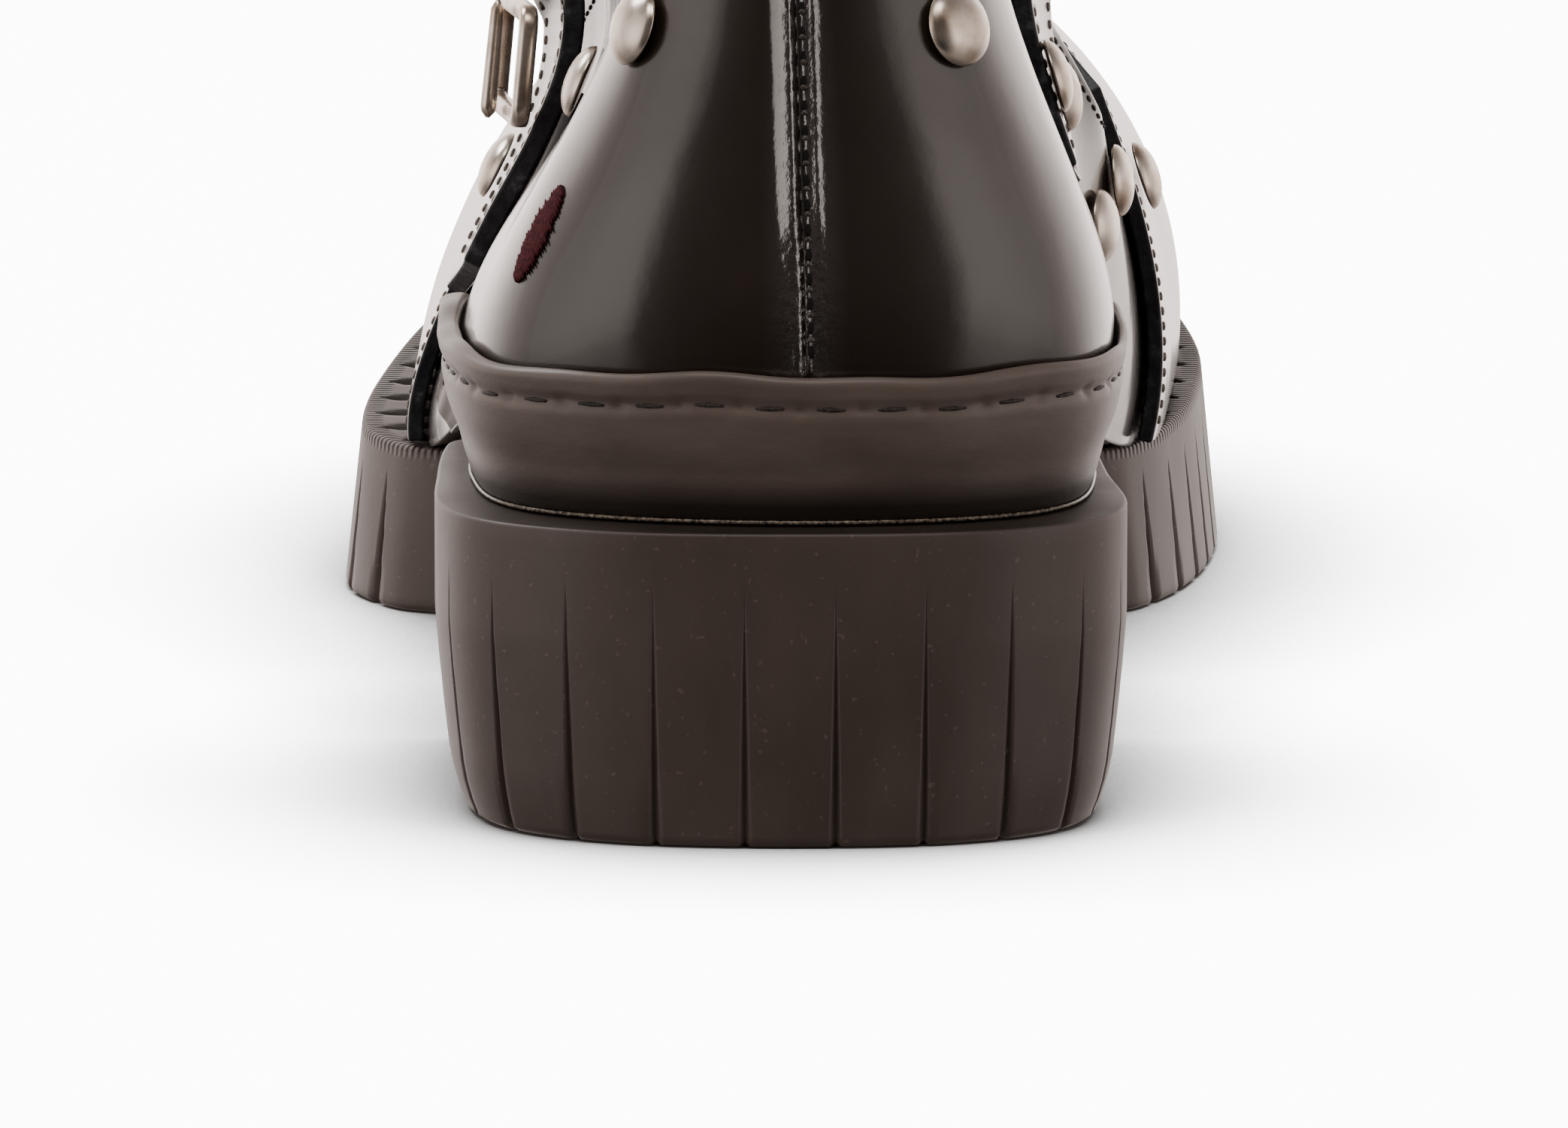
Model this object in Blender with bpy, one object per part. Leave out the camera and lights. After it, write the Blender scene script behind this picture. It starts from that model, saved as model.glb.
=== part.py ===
# A left leather strap shoe on a thick ribbed sole, in metres, standing on z = 0.
# +Y runs from heel to toe, +X is the inner side of the foot, and each piece is one closed solid.
import math
from collections import namedtuple

import bmesh
import bpy
import numpy as np
from mathutils import Matrix, Vector

# Driving sizes of the shoe
LENGTH = 0.284
BALL_WIDTH = 0.100
HEEL_WIDTH = 0.0694
HEEL_LENGTH = 0.068
HEEL_HEIGHT = 0.0315
PLATFORM_HEIGHT = 0.0182
TOE_RISE = 0.0130
TOE_SPRING = 0.0110
BACK_HEIGHT = 0.101
WALL = 0.0020
GAP = 0.0003
CURVED_GAP = 0.0005

# Sole: flare of the wall, ribs in its side, tread grooves and the thin waist
SOLE_FLARE = 0.0020
HEEL_TAPER = 0.0032
RIB_PITCH = 0.0092
RIB_WIDTH = 0.0016
RIB_DEPTH = 0.0013
EDGE_ROUND = 0.0009
WAIST_THICKNESS = 0.0070
TREAD_DEPTH = 0.0035
TREAD_WIDTH = 0.0045
TREAD_REACH = 0.34
TREAD_SLANT = math.radians(-6.0)
HEEL_TREADS = (0.30, 0.52, 0.74)
SOLE_TREADS = (0.565, 0.617, 0.669, 0.721, 0.773, 0.825, 0.877, 0.929)
RIB_START = 0.82

# Heel band: its floor carries the upper, its rim cups the quarter
SEAT_THICKNESS = 0.0047
RIM_HEIGHT = 0.0104
RIM_FRONT_HEIGHT = 0.0025
RIM_WIDTH = 0.0044
BAND_END = 0.425

# Vamp overlay, insole, strap, buckle and studs
VAMP_THICKNESS = 0.0018
VAMP_REAR = 7.05
VAMP_SWEEP = 0.75
INSOLE_THICKNESS = 0.0025
STRAP_WIDTH = 0.0190
STRAP_THICKNESS = 0.0023
STRAP_RISE = 0.0095
STRAP_LEAD = 0.0100
CROWN_SLOPE = math.radians(30.0)
TAB_WIDTH = 0.0150
TAB_THICKNESS = 0.0012
BUCKLE_LENGTH = 0.0130
BUCKLE_WIDTH = 0.0250
BUCKLE_BAR = 0.0020
BUCKLE_ROW = 7
BUCKLE_SHIFT = -0.0025
STUD_RADIUS = 0.0040
STUD_HEIGHT = 0.0024

# Resolution of the faceted solids
UPPER_COLUMNS = 88
UPPER_RINGS = 9
VAMP_COLUMNS = 58
STUD_SIDES = 12

# Sections of the upper, one row each from the back of the heel to the toe, for either side of the
# foot. Places along the foot are shares of LENGTH, widths shares of the local width, heights shares
# of BACK_HEIGHT, and the four bends shares of the section's own height.
Section = namedtuple("Section", "y x top_y top_x top_z swell rise reach drop")
BACK = Section(0.021, 0.032, 0.032, 0.012, 1.000, 0.14, 0.31, 0.03, 0.31)
TOE = Section(0.968, 0.010, 0.563, 0.020, 0.745, 0.07, 0.66, 0.90, 0.20)
LATERAL = [
    BACK,
    Section(0.032, -0.223, 0.046, -0.135, 0.980, 0.15, 0.31, 0.02, 0.31),
    Section(0.063, -0.382, 0.085, -0.200, 0.931, 0.18, 0.31, -0.02, 0.34),
    Section(0.127, -0.437, 0.148, -0.240, 0.861, 0.20, 0.31, -0.08, 0.38),
    Section(0.218, -0.447, 0.225, -0.272, 0.812, 0.20, 0.33, -0.11, 0.40),
    Section(0.324, -0.446, 0.303, -0.275, 0.792, 0.05, 0.27, -0.12, 0.41),
    Section(0.430, -0.425, 0.373, -0.290, 0.700, 0.06, 0.26, -0.04, 0.30),
    Section(0.521, -0.412, 0.437, -0.305, 0.575, 0.04, 0.24, 0.12, 0.30),
    Section(0.616, -0.400, 0.482, -0.262, 0.594, 0.02, 0.28, 0.20, 0.24),
    Section(0.722, -0.390, 0.518, -0.200, 0.655, 0.02, 0.34, 0.40, 0.22),
    Section(0.827, -0.345, 0.542, -0.130, 0.706, 0.03, 0.42, 0.60, 0.20),
    Section(0.920, -0.230, 0.558, -0.060, 0.735, 0.05, 0.54, 0.78, 0.19),
    TOE,
]
MEDIAL = [
    BACK,
    Section(0.032, 0.267, 0.046, 0.195, 0.980, 0.15, 0.31, 0.02, 0.31),
    Section(0.063, 0.396, 0.085, 0.290, 0.931, 0.19, 0.31, 0.00, 0.32),
    Section(0.127, 0.435, 0.148, 0.318, 0.861, 0.22, 0.31, -0.02, 0.33),
    Section(0.218, 0.430, 0.225, 0.330, 0.812, 0.21, 0.32, -0.03, 0.33),
    Section(0.324, 0.415, 0.303, 0.328, 0.792, 0.09, 0.29, -0.02, 0.32),
    Section(0.430, 0.390, 0.373, 0.355, 0.723, 0.08, 0.28, 0.02, 0.28),
    Section(0.521, 0.401, 0.437, 0.400, 0.590, 0.08, 0.29, 0.25, 0.32),
    Section(0.616, 0.415, 0.482, 0.345, 0.604, 0.07, 0.41, 0.30, 0.26),
    Section(0.722, 0.430, 0.518, 0.262, 0.665, 0.07, 0.49, 0.46, 0.15),
    Section(0.827, 0.380, 0.542, 0.185, 0.713, 0.06, 0.52, 0.62, 0.16),
    Section(0.920, 0.245, 0.558, 0.100, 0.738, 0.07, 0.58, 0.78, 0.18),
    TOE,
]
TOE_STATION = len(LATERAL) - 1

# Outlines of the sole, from the rear centre to the front centre. A heel row's place is a share of
# HEEL_LENGTH and its widths shares of HEEL_WIDTH; an outsole row uses LENGTH and the local width.
Edge = namedtuple("Edge", "y lateral medial")
HEEL_EDGE = [
    Edge(0.000, 0.009, 0.009),
    Edge(0.026, -0.245, 0.260),
    Edge(0.132, -0.422, 0.432),
    Edge(0.309, -0.499, 0.496),
    Edge(0.618, -0.511, 0.478),
    Edge(0.882, -0.508, 0.465),
    Edge(0.960, -0.490, 0.446),
    Edge(0.982, -0.432, 0.389),
    Edge(0.995, -0.216, 0.194),
    Edge(1.000, 0.000, 0.000),
]
OUTSOLE_EDGE = [
    Edge(0.2412, 0.000, 0.000),
    Edge(0.2440, -0.317, 0.288),
    Edge(0.2530, -0.388, 0.353),
    Edge(0.317, -0.388, 0.348),
    Edge(0.405, -0.366, 0.325),
    Edge(0.486, -0.358, 0.318),
    Edge(0.509, -0.368, 0.335),
    Edge(0.520, -0.402, 0.372),
    Edge(0.542, -0.445, 0.402),
    Edge(0.581, -0.476, 0.435),
    Edge(0.641, -0.478, 0.468),
    Edge(0.715, -0.457, 0.486),
    Edge(0.785, -0.423, 0.472),
    Edge(0.849, -0.370, 0.434),
    Edge(0.905, -0.295, 0.360),
    Edge(0.951, -0.212, 0.280),
    Edge(0.981, -0.100, 0.172),
    Edge(0.993, 0.035, 0.035),
]
PLATFORM_START = 0.514
PLATFORM_ROW = 8

# Studs: side, station along the upper, height share of the column, and what carries it
Stud = namedtuple("Stud", "side station height carrier")
STUDS = [
    Stud("lateral", 1.33, 0.71, "upper"),
    Stud("lateral", 4.15, 0.74, "upper"),
    Stud("lateral", 6.80, 0.80, "upper"),
    Stud("lateral", 8.10, 0.68, "vamp"),
    Stud("lateral", 6.45, 0.54, "upper"),
    Stud("medial", 1.10, 0.70, "upper"),
    Stud("medial", 7.00, 0.78, "upper"),
    Stud("medial", 8.23, 0.56, "vamp"),
    Stud("medial", 6.36, 0.54, "upper"),
    Stud("medial", 4.74, 0.70, "strap"),
    Stud("medial", 5.32, 0.69, "strap"),
]

# The instep strap's path: side, station, height share of the column and distance off the upper.
# It leaves the upper above the tab, crosses the opening at the crown and is riveted to the inner side.
StrapStop = namedtuple("StrapStop", "side station height lift")
STRAP_LATERAL = [
    StrapStop("lateral", 5.25, 0.24, 1.0),
    StrapStop("lateral", 5.20, 0.40, 1.0),
    StrapStop("lateral", 5.15, 0.58, 1.0),
    StrapStop("lateral", 5.15, 0.76, 1.0),
    StrapStop("lateral", 5.20, 0.93, 1.0),
    StrapStop("lateral", 5.25, 1.07, 1.0),
]
STRAP_MEDIAL = [
    StrapStop("medial", 5.20, 1.07, 0.0),
    StrapStop("medial", 5.15, 0.93, 0.0),
    StrapStop("medial", 5.10, 0.78, 0.0),
    StrapStop("medial", 5.05, 0.64, 0.0),
    StrapStop("medial", 5.00, 0.50, 0.0),
]
ACROSS = np.linspace(-1.0, 1.0, 7)


def clear_scene():
    for obj in list(bpy.data.objects):
        bpy.data.objects.remove(obj, do_unlink=True)


def make_material(name, color, roughness, metallic=0.0):
    material = bpy.data.materials.new(name)
    material.use_nodes = True
    shader = material.node_tree.nodes["Principled BSDF"]
    shader.inputs["Base Color"].default_value = (*color, 1.0)
    shader.inputs["Roughness"].default_value = roughness
    shader.inputs["Metallic"].default_value = metallic
    return material


def smooth(value):
    t = np.clip(value, 0.0, 1.0)
    return t * t * (3.0 - 2.0 * t)


def local_width(y):
    """Width that the tables' shares refer to: the heel's at the back, the ball's at the front."""
    return HEEL_WIDTH + (BALL_WIDTH - HEEL_WIDTH) * smooth((y / LENGTH - 0.25) / 0.35)


def toe_lift(y):
    return TOE_RISE * np.clip((y / LENGTH - 0.53) / 0.47, 0.0, 1.0) ** 1.6


def bed(y):
    """Height of the surface that the upper and the insole stand on."""
    seat = HEEL_HEIGHT + GAP + SEAT_THICKNESS
    fall = smooth((y - HEEL_LENGTH - GAP) / (0.545 * LENGTH - HEEL_LENGTH))
    return seat + (PLATFORM_HEIGHT - seat) * fall + toe_lift(y)


def band_floor(y):
    """Underside of the heel band: flat on the heel, thinning out along the waist."""
    thickness = SEAT_THICKNESS * (1.0 - 0.75 * smooth((y / LENGTH - 0.25) / 0.17))
    return bed(y) - thickness


def sole_top(y):
    """Top of the outsole: under the band as far as it reaches, then under the upper itself."""
    under_band = band_floor(y) - GAP
    blend = smooth((y / LENGTH - BAND_END) / 0.03)
    return under_band + (bed(y) - under_band) * blend


def sole_bottom(y):
    tread = TOE_SPRING * np.clip((y / LENGTH - 0.69) / 0.31, 0.0, 1.0) ** 2
    waist = sole_top(y) - WAIST_THICKNESS
    step = np.clip((y / LENGTH - PLATFORM_START + 0.006) / 0.006, 0.0, 1.0)
    return waist + (tread - waist) * step


def closed_curve(rows, at):
    """Periodic Catmull-Rom curve through rows, read at positions in units of rows."""
    rows = np.asarray(rows, float)
    count = len(rows)
    at = np.asarray(at, float)
    first = np.floor(at).astype(int)
    t = (at - first)[..., None]
    p0, p1, p2, p3 = (rows[(first + k) % count] for k in (-1, 0, 1, 2))
    return 0.5 * (
        2 * p1
        + (p2 - p0) * t
        + (2 * p0 - 5 * p1 + 4 * p2 - p3) * t**2
        + (3 * p1 - p0 - 3 * p2 + p3) * t**3
    )


def both_sides(lateral, medial):
    """One closed list: lateral rows from back to front, then medial rows from front to back."""
    return np.array(list(lateral) + list(medial)[-2:0:-1])


def upper_frame():
    """Four control points for each station around the foot, of a curve from feather to top line."""
    base, top, bends = [], [], []
    for side in (LATERAL, MEDIAL):
        low, high = [], []
        for row in side:
            y, top_y = row.y * LENGTH, row.top_y * LENGTH
            low.append((row.x * local_width(y), y, bed(y) + GAP))
            high.append((row.top_x * local_width(top_y), top_y, row.top_z * BACK_HEIGHT))
        base.append(low)
        top.append(high)
        bends.append([(row.swell, row.rise, row.reach, row.drop) for row in side])
    base, top, bends = both_sides(*base), both_sides(*top), both_sides(*bends)
    along = np.roll(base, -1, 0) - np.roll(base, 1, 0)
    outward = np.stack([-along[:, 1], along[:, 0], np.zeros(len(along))], 1)
    outward /= np.linalg.norm(outward, axis=1)[:, None]
    forward = base - top
    forward[:, 2] = 0.0
    forward /= np.linalg.norm(forward, axis=1)[:, None]
    height = (top[:, 2] - base[:, 2])[:, None]
    up = np.array([[0.0, 0.0, 1.0]])
    low = base + height * (outward * bends[:, 0:1] + up * bends[:, 1:2])
    high = top + height * (forward * bends[:, 2:3] - up * bends[:, 3:4])
    return np.concatenate([base, low, high, top], 1)


UPPER_FRAME = None


def upper_point(station, height):
    """Outer surface of the upper. Station runs 0 at the back, 12 at the toe, 24 back again."""
    station, height = np.broadcast_arrays(np.asarray(station, float), np.asarray(height, float))
    control = closed_curve(UPPER_FRAME, station).reshape(station.shape + (4, 3))
    t = height[..., None]
    return (
        control[..., 0, :] * (1 - t) ** 3
        + control[..., 1, :] * 3 * t * (1 - t) ** 2
        + control[..., 2, :] * 3 * t**2 * (1 - t)
        + control[..., 3, :] * t**3
    )


def upper_skin(station, height, offset):
    """The upper's surface moved outward by offset along its normal."""
    step = 1e-3
    round_foot = upper_point(np.add(station, step), height) - upper_point(np.add(station, -step), height)
    rising = upper_point(station, np.add(height, step)) - upper_point(station, np.add(height, -step))
    normal = np.cross(rising, round_foot)
    normal /= np.linalg.norm(normal, axis=-1)[..., None]
    return upper_point(station, height) + offset * normal


def upper_height_at(station, z):
    """Height share at which a column of the upper passes the level z."""
    low, high = np.zeros_like(station), np.ones_like(station)
    for _ in range(30):
        middle = (low + high) / 2
        below = upper_point(station, middle)[..., 2] < z
        low = np.where(below, middle, low)
        high = np.where(below, high, middle)
    return (low + high) / 2


def side_station(side, station):
    return station if side == "lateral" else 2 * TOE_STATION - station


def outline(edges, widths, places):
    """Closed outline of a sole piece, as rows of x and y."""
    sides = []
    for side in ("lateral", "medial"):
        sides.append([(getattr(e, side) * widths(places(e.y)), places(e.y)) for e in edges])
    return both_sides(*sides)


def sole_place(share):
    """Place of an outsole row: its rear end keeps to the heel, and the platform to LENGTH."""
    first, platform = OUTSOLE_EDGE[0].y, OUTSOLE_EDGE[PLATFORM_ROW].y
    behind = HEEL_LENGTH + CURVED_GAP - first * LENGTH
    return share * LENGTH + behind * min(1.0, max(0.0, (platform - share) / (platform - first)))


def outward_normals(points):
    along = np.roll(points, -1, 0) - np.roll(points, 1, 0)
    normal = np.stack([-along[:, 1], along[:, 0]], 1)
    return normal / np.linalg.norm(normal, axis=1)[:, None]


def ribbed_columns(rows, first_row, last_row):
    """Positions along one side of an outline, with three columns at each rib groove.

    Returns the positions, and for each one -1, 0 or 1 across a groove or None between two."""
    fine = np.linspace(first_row, last_row, 400)
    points = closed_curve(rows, fine)
    steps = np.linalg.norm(np.diff(points, axis=0), axis=1)
    distance = np.concatenate([[0.0], np.cumsum(steps)])
    count = max(2, round(distance[-1] / RIB_PITCH))
    pitch = distance[-1] / count
    columns = []
    for k in range(count):
        centre = (k + 0.5) * pitch
        for shift, kind in ((-RIB_WIDTH / 2, -1), (0.0, 0), (RIB_WIDTH / 2, 1), (pitch / 2, None)):
            columns.append((np.interp(centre + shift, distance, fine), kind))
    return columns[:-1]


def build_mesh(name, points, faces, material, smooth_angle=35.0):
    mesh = bpy.data.meshes.new(name)
    bm = bmesh.new()
    verts = [bm.verts.new(p) for p in points]
    for face in faces:
        bm.faces.new([verts[i] for i in face])
    bmesh.ops.recalc_face_normals(bm, faces=bm.faces)
    bm.to_mesh(mesh)
    bm.free()
    mesh.shade_smooth()
    mesh.set_sharp_from_angle(angle=math.radians(smooth_angle))
    mesh.materials.append(material)
    obj = bpy.data.objects.new(name, mesh)
    bpy.context.scene.collection.objects.link(obj)
    return obj


def ring_solid(name, rings, material, closed=True):
    """Solid from rings of points. Each ring runs one way round, so point i faces point -i across.

    The first and last ring are filled by rungs across the foot. An open ring's front is closed too."""
    count = len(rings[0])
    points = [tuple(p) for ring in rings for p in ring]
    faces = []
    spans = count if closed else count - 1
    for r in range(len(rings) - 1):
        for i in range(spans):
            j = (i + 1) % count
            faces.append((r * count + i, r * count + j, (r + 1) * count + j, (r + 1) * count + i))
    for start in (0, (len(rings) - 1) * count):
        pairs = rung_pairs(count, closed)
        for (a, b), (c, d) in zip(pairs, pairs[1:]):
            corners = [start + i for i in (a, c, d, b)]
            faces.append(tuple(dict.fromkeys(corners)))
    if not closed:
        near = [r * count for r in range(len(rings))]
        far = [r * count + count - 1 for r in reversed(range(len(rings)))]
        faces.append(tuple(near + far))
    return build_mesh(name, points, faces, material)


def rung_pairs(count, closed):
    if closed:
        return [(i, (count - i) % count) for i in range(count // 2 + 1)]
    middle = count // 2
    return [(middle - i, middle + i) for i in range(middle + 1)]


def slab_solid(name, inner, outer, material):
    """Solid between two grids of points, row by row, closed all round its edge."""
    rows, columns = inner.shape[:2]
    points = [tuple(p) for p in inner.reshape(-1, 3)] + [tuple(p) for p in outer.reshape(-1, 3)]
    far = rows * columns
    faces = []
    for r in range(rows - 1):
        for c in range(columns - 1):
            a, b = r * columns + c, r * columns + c + 1
            d, e = a + columns, b + columns
            faces.append((a, b, e, d))
            faces.append((far + a, far + d, far + e, far + b))
    edge = [(0, c) for c in range(columns)]
    edge += [(r, columns - 1) for r in range(1, rows)]
    edge += [(rows - 1, c) for c in range(columns - 2, -1, -1)]
    edge += [(r, 0) for r in range(rows - 2, 0, -1)]
    ids = [r * columns + c for r, c in edge]
    for a, b in zip(ids, ids[1:] + ids[:1]):
        faces.append((a, far + a, far + b, b))
    return build_mesh(name, points, faces, material)


def tread_cutter(name, places, half_widths, bottoms, slant):
    """Hidden bars that cut the blind tread grooves between the main lugs."""
    bm = bmesh.new()
    for y, half, bottom in zip(places, half_widths, bottoms):
        size = Matrix.Diagonal((2 * half, TREAD_WIDTH, 2 * TREAD_DEPTH, 1.0))
        place = Matrix.Translation((0.0, y, bottom)) @ Matrix.Rotation(slant, 4, "Z")
        bmesh.ops.create_cube(bm, size=1.0, matrix=place @ size)
    mesh = bpy.data.meshes.new(name)
    bm.to_mesh(mesh)
    bm.free()
    obj = bpy.data.objects.new(name, mesh)
    bpy.context.scene.collection.objects.link(obj)
    obj.hide_render = True
    obj.display_type = "WIRE"
    return obj


def cut_with(obj, cutter):
    modifier = obj.modifiers.new("tread", "BOOLEAN")
    modifier.operation = "DIFFERENCE"
    modifier.solver = "EXACT"
    modifier.object = cutter


def sole_rings(flat, normals, kinds, levels):
    """Rings of a ribbed sole piece. A level is (heights, outset, share of the rib's depth)."""
    grooved = np.array([kind == 0 for kind in kinds])
    rings = []
    for heights, outset, depth in levels:
        moved = flat + normals * (outset - np.where(grooved, depth * RIB_DEPTH, 0.0))[:, None]
        rings.append(np.column_stack([moved, np.broadcast_to(heights, len(moved))]))
    return rings


def narrowed(flat, kinds, share):
    """Pulls a groove's two sides toward its middle, so that it starts as a line and widens."""
    out = flat.copy()
    for i, kind in enumerate(kinds):
        if kind in (-1, 1):
            middle = flat[i - kind]
            out[i] = middle + (flat[i] - middle) * share
    return out


def mirrored_columns(columns, count):
    """Columns of the whole outline: one side's positions, then the same ones on the other side."""
    ends = [(0.0, None)] + columns + [(count / 2, None)]
    back = [(count - at, None if kind is None else -kind) for at, kind in columns[::-1]]
    return ends + back


def make_heel_block(rubber):
    rows = outline(HEEL_EDGE, lambda y: HEEL_WIDTH, lambda share: share * HEEL_LENGTH)
    breast = len(HEEL_EDGE) - 1
    ribs = ribbed_columns(rows, 0.0, 6.2)
    rest = [(6.8, None), (7.1, None), (8.0, None)]
    columns = mirrored_columns(ribs + rest, 2 * breast)
    kinds = [kind for _, kind in columns]
    flat = closed_curve(rows, [at for at, _ in columns])
    normals = outward_normals(flat)
    front = flat[:, 1] > 0.96 * HEEL_LENGTH
    taper = np.where(front, 0.0, HEEL_TAPER) * (0.2 + 0.8 * np.abs(normals[:, 0]))
    thin, middle = narrowed(flat, kinds, 0.15), narrowed(flat, kinds, 0.7)
    rings = sole_rings(thin, normals, kinds, [
        (HEEL_HEIGHT, -EDGE_ROUND, 0.0),
        (HEEL_HEIGHT - EDGE_ROUND, 0.0, 0.0),
        (RIB_START * HEEL_HEIGHT, 0.0, 0.0),
    ])
    rings += sole_rings(middle, normals, kinds, [(0.22 * HEEL_HEIGHT, -0.3 * taper, 0.8)])
    rings += sole_rings(flat, normals, kinds, [
        (0.06 * HEEL_HEIGHT, -0.6 * taper, 1.0),
        (0.0, -taper, 1.0),
    ])
    heel = ring_solid("heel_block", rings, rubber)
    places = [HEEL_LENGTH * share for share in HEEL_TREADS]
    halves = [TREAD_REACH * HEEL_WIDTH for _ in places]
    cutter = tread_cutter("heel_tread_cutter", places, halves, [0.0 for _ in places], 0.0)
    cut_with(heel, cutter)
    return heel


def make_outsole(rubber):
    rows = outline(OUTSOLE_EDGE, local_width, sole_place)
    toe = len(OUTSOLE_EDGE) - 1
    waist = [(k, None) for k in (1.0, 2.0, 3.0, 4.0, 5.0, 5.7, 6.3, 6.8, 7.4)]
    ribs = ribbed_columns(rows, PLATFORM_ROW - 0.3, toe)
    columns = mirrored_columns(waist + ribs, 2 * toe)
    kinds = [kind for _, kind in columns]
    flat = closed_curve(rows, [at for at, _ in columns])
    flat[:, 1] = np.maximum(flat[:, 1], HEEL_LENGTH + GAP)
    normals = outward_normals(flat)
    top, bottom = sole_top(flat[:, 1]), sole_bottom(flat[:, 1])
    flare = SOLE_FLARE * smooth((flat[:, 1] / LENGTH - PLATFORM_START) / 0.02)
    thin, middle = narrowed(flat, kinds, 0.15), narrowed(flat, kinds, 0.7)
    rings = sole_rings(thin, normals, kinds, [
        (top, -EDGE_ROUND, 0.0),
        (top - EDGE_ROUND, 0.0, 0.0),
        (top + 0.26 * (bottom - top), 0.25 * flare, 0.0),
    ])
    rings += sole_rings(middle, normals, kinds, [(top + 0.66 * (bottom - top), 0.7 * flare, 0.8)])
    rings += sole_rings(flat, normals, kinds, [
        (top + 0.92 * (bottom - top), flare, 1.0),
        (bottom, flare - 1.3 * EDGE_ROUND, 1.0),
    ])
    outsole = ring_solid("outsole", rings, rubber)
    places = [share * LENGTH for share in SOLE_TREADS]
    narrowing = [1.9 * max(0.0, share - 0.76) ** 1.25 for share in SOLE_TREADS]
    halves = [(TREAD_REACH - less) * BALL_WIDTH for less in narrowing]
    bottoms = [float(sole_bottom(y)) for y in places]
    cutter = tread_cutter("outsole_tread_cutter", places, halves, bottoms, TREAD_SLANT)
    cut_with(outsole, cutter)
    return outsole


def make_heel_band(leather):
    """Cup round the heel: floor, flared face, round lip, and an inner side that follows the upper."""
    half = UPPER_COLUMNS // 2
    stations = 2.0 * TOE_STATION * np.arange(-half, half + 1) / UPPER_COLUMNS
    base_y = upper_point(stations, 0.0)[:, 1]
    stations = stations[base_y < BAND_END * LENGTH]
    base = upper_point(stations, 0.0)
    along = upper_point(stations + 0.01, 0.0) - upper_point(stations - 0.01, 0.0)
    outward = np.stack([-along[:, 1], along[:, 0]], 1)
    outward /= np.linalg.norm(outward, axis=1)[:, None]
    floor_top = base[:, 2] - GAP
    floor_low = band_floor(base[:, 1])
    fade = smooth((base[:, 1] / LENGTH - 0.22) / (BAND_END - 0.22))
    rim = RIM_HEIGHT + (RIM_FRONT_HEIGHT - RIM_HEIGHT) * fade
    width = RIM_WIDTH * (1.0 - 0.45 * fade)
    lip = floor_top + rim
    face = [
        (floor_low, 0.20),
        (floor_low + 0.9 * (floor_top - floor_low), 0.46),
        (floor_top + 0.12 * rim, 0.64),
        (floor_top + 0.78 * rim, 1.02),
        (floor_top + 0.95 * rim, 1.06),
    ]
    rings = [np.column_stack([base[:, :2] + outward * (width * share)[:, None], z]) for z, share in face]
    inner = []
    for share in (0.97, 0.70, 0.40, 0.12):
        height = upper_height_at(stations, floor_top + share * rim)
        inner.append(upper_skin(stations, height, 1.5 * GAP))
    crown = rings[-1] * 0.55 + inner[0] * 0.45
    crown[:, 2] = lip
    rings += [crown] + inner
    foot = np.column_stack([base[:, :2] + outward * 1.5 * GAP, floor_top])
    rings.append(foot)
    return ring_solid("heel_band", rings, leather, closed=False)


def make_insole(lining):
    stations = 2.0 * TOE_STATION * np.arange(0, UPPER_COLUMNS, 2) / UPPER_COLUMNS
    rings = []
    for height in (0.0, 1.0):
        level = upper_point(stations, 0.0)[:, 2] + height * INSOLE_THICKNESS
        column = upper_height_at(stations, level)
        ring = upper_skin(stations, column, -WALL - 2 * GAP)
        ring[:, 2] = bed(ring[:, 1]) + GAP + height * INSOLE_THICKNESS
        rings.append(ring)
    low = np.minimum(np.abs(rings[0][:, 0]), np.abs(rings[1][:, 0]))
    for ring in rings:
        ring[:, 0] = np.sign(ring[:, 0]) * low
    return ring_solid("insole", rings, lining)


def make_upper(leather):
    """One hollow annulus: outer and inner skin joined at the feather edge and at the top line."""
    stations = 2.0 * TOE_STATION * np.arange(UPPER_COLUMNS) / UPPER_COLUMNS
    heights = np.linspace(0.0, 1.0, UPPER_RINGS)
    outer = [upper_skin(stations, np.full_like(stations, h), 0.0) for h in heights]
    inner = [upper_skin(stations, np.full_like(stations, h), -WALL) for h in heights]
    rings = outer + inner[::-1]
    count = UPPER_COLUMNS
    points = [tuple(p) for ring in rings for p in ring]
    faces = []
    for r in range(len(rings)):
        s = (r + 1) % len(rings)
        for i in range(count):
            j = (i + 1) % count
            faces.append((r * count + i, r * count + j, s * count + j, s * count + i))
    return build_mesh("upper", points, faces, leather, 60.0)


def make_vamp(leather):
    """Overlay on the front of the upper, cut from its own surface, with a raw rear edge."""
    heights = np.linspace(0.02, 0.985, UPPER_RINGS)
    tracks = []
    for height in heights:
        rear = VAMP_REAR + VAMP_SWEEP * height**1.4
        tracks.append(np.linspace(rear, 2 * TOE_STATION - rear, VAMP_COLUMNS))
    stations = np.array(tracks)
    levels = np.repeat(heights[:, None], stations.shape[1], 1)
    inner = upper_skin(stations, levels, CURVED_GAP)
    outer = upper_skin(stations, levels, CURVED_GAP + VAMP_THICKNESS)
    return slab_solid("vamp", inner, outer, leather)


def strap_stop(stop, width, lift):
    """One row of points across a strap that lies on the upper."""
    station = side_station(stop.side, stop.station)
    reach = upper_point(station + 0.05, stop.height) - upper_point(station - 0.05, stop.height)
    per_metre = 0.1 / np.linalg.norm(reach)
    turn = 1.0 if stop.side == "lateral" else -1.0
    stations = station + turn * ACROSS * width / 2 * per_metre
    return upper_skin(stations, np.full(len(ACROSS), stop.height), lift)


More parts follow.
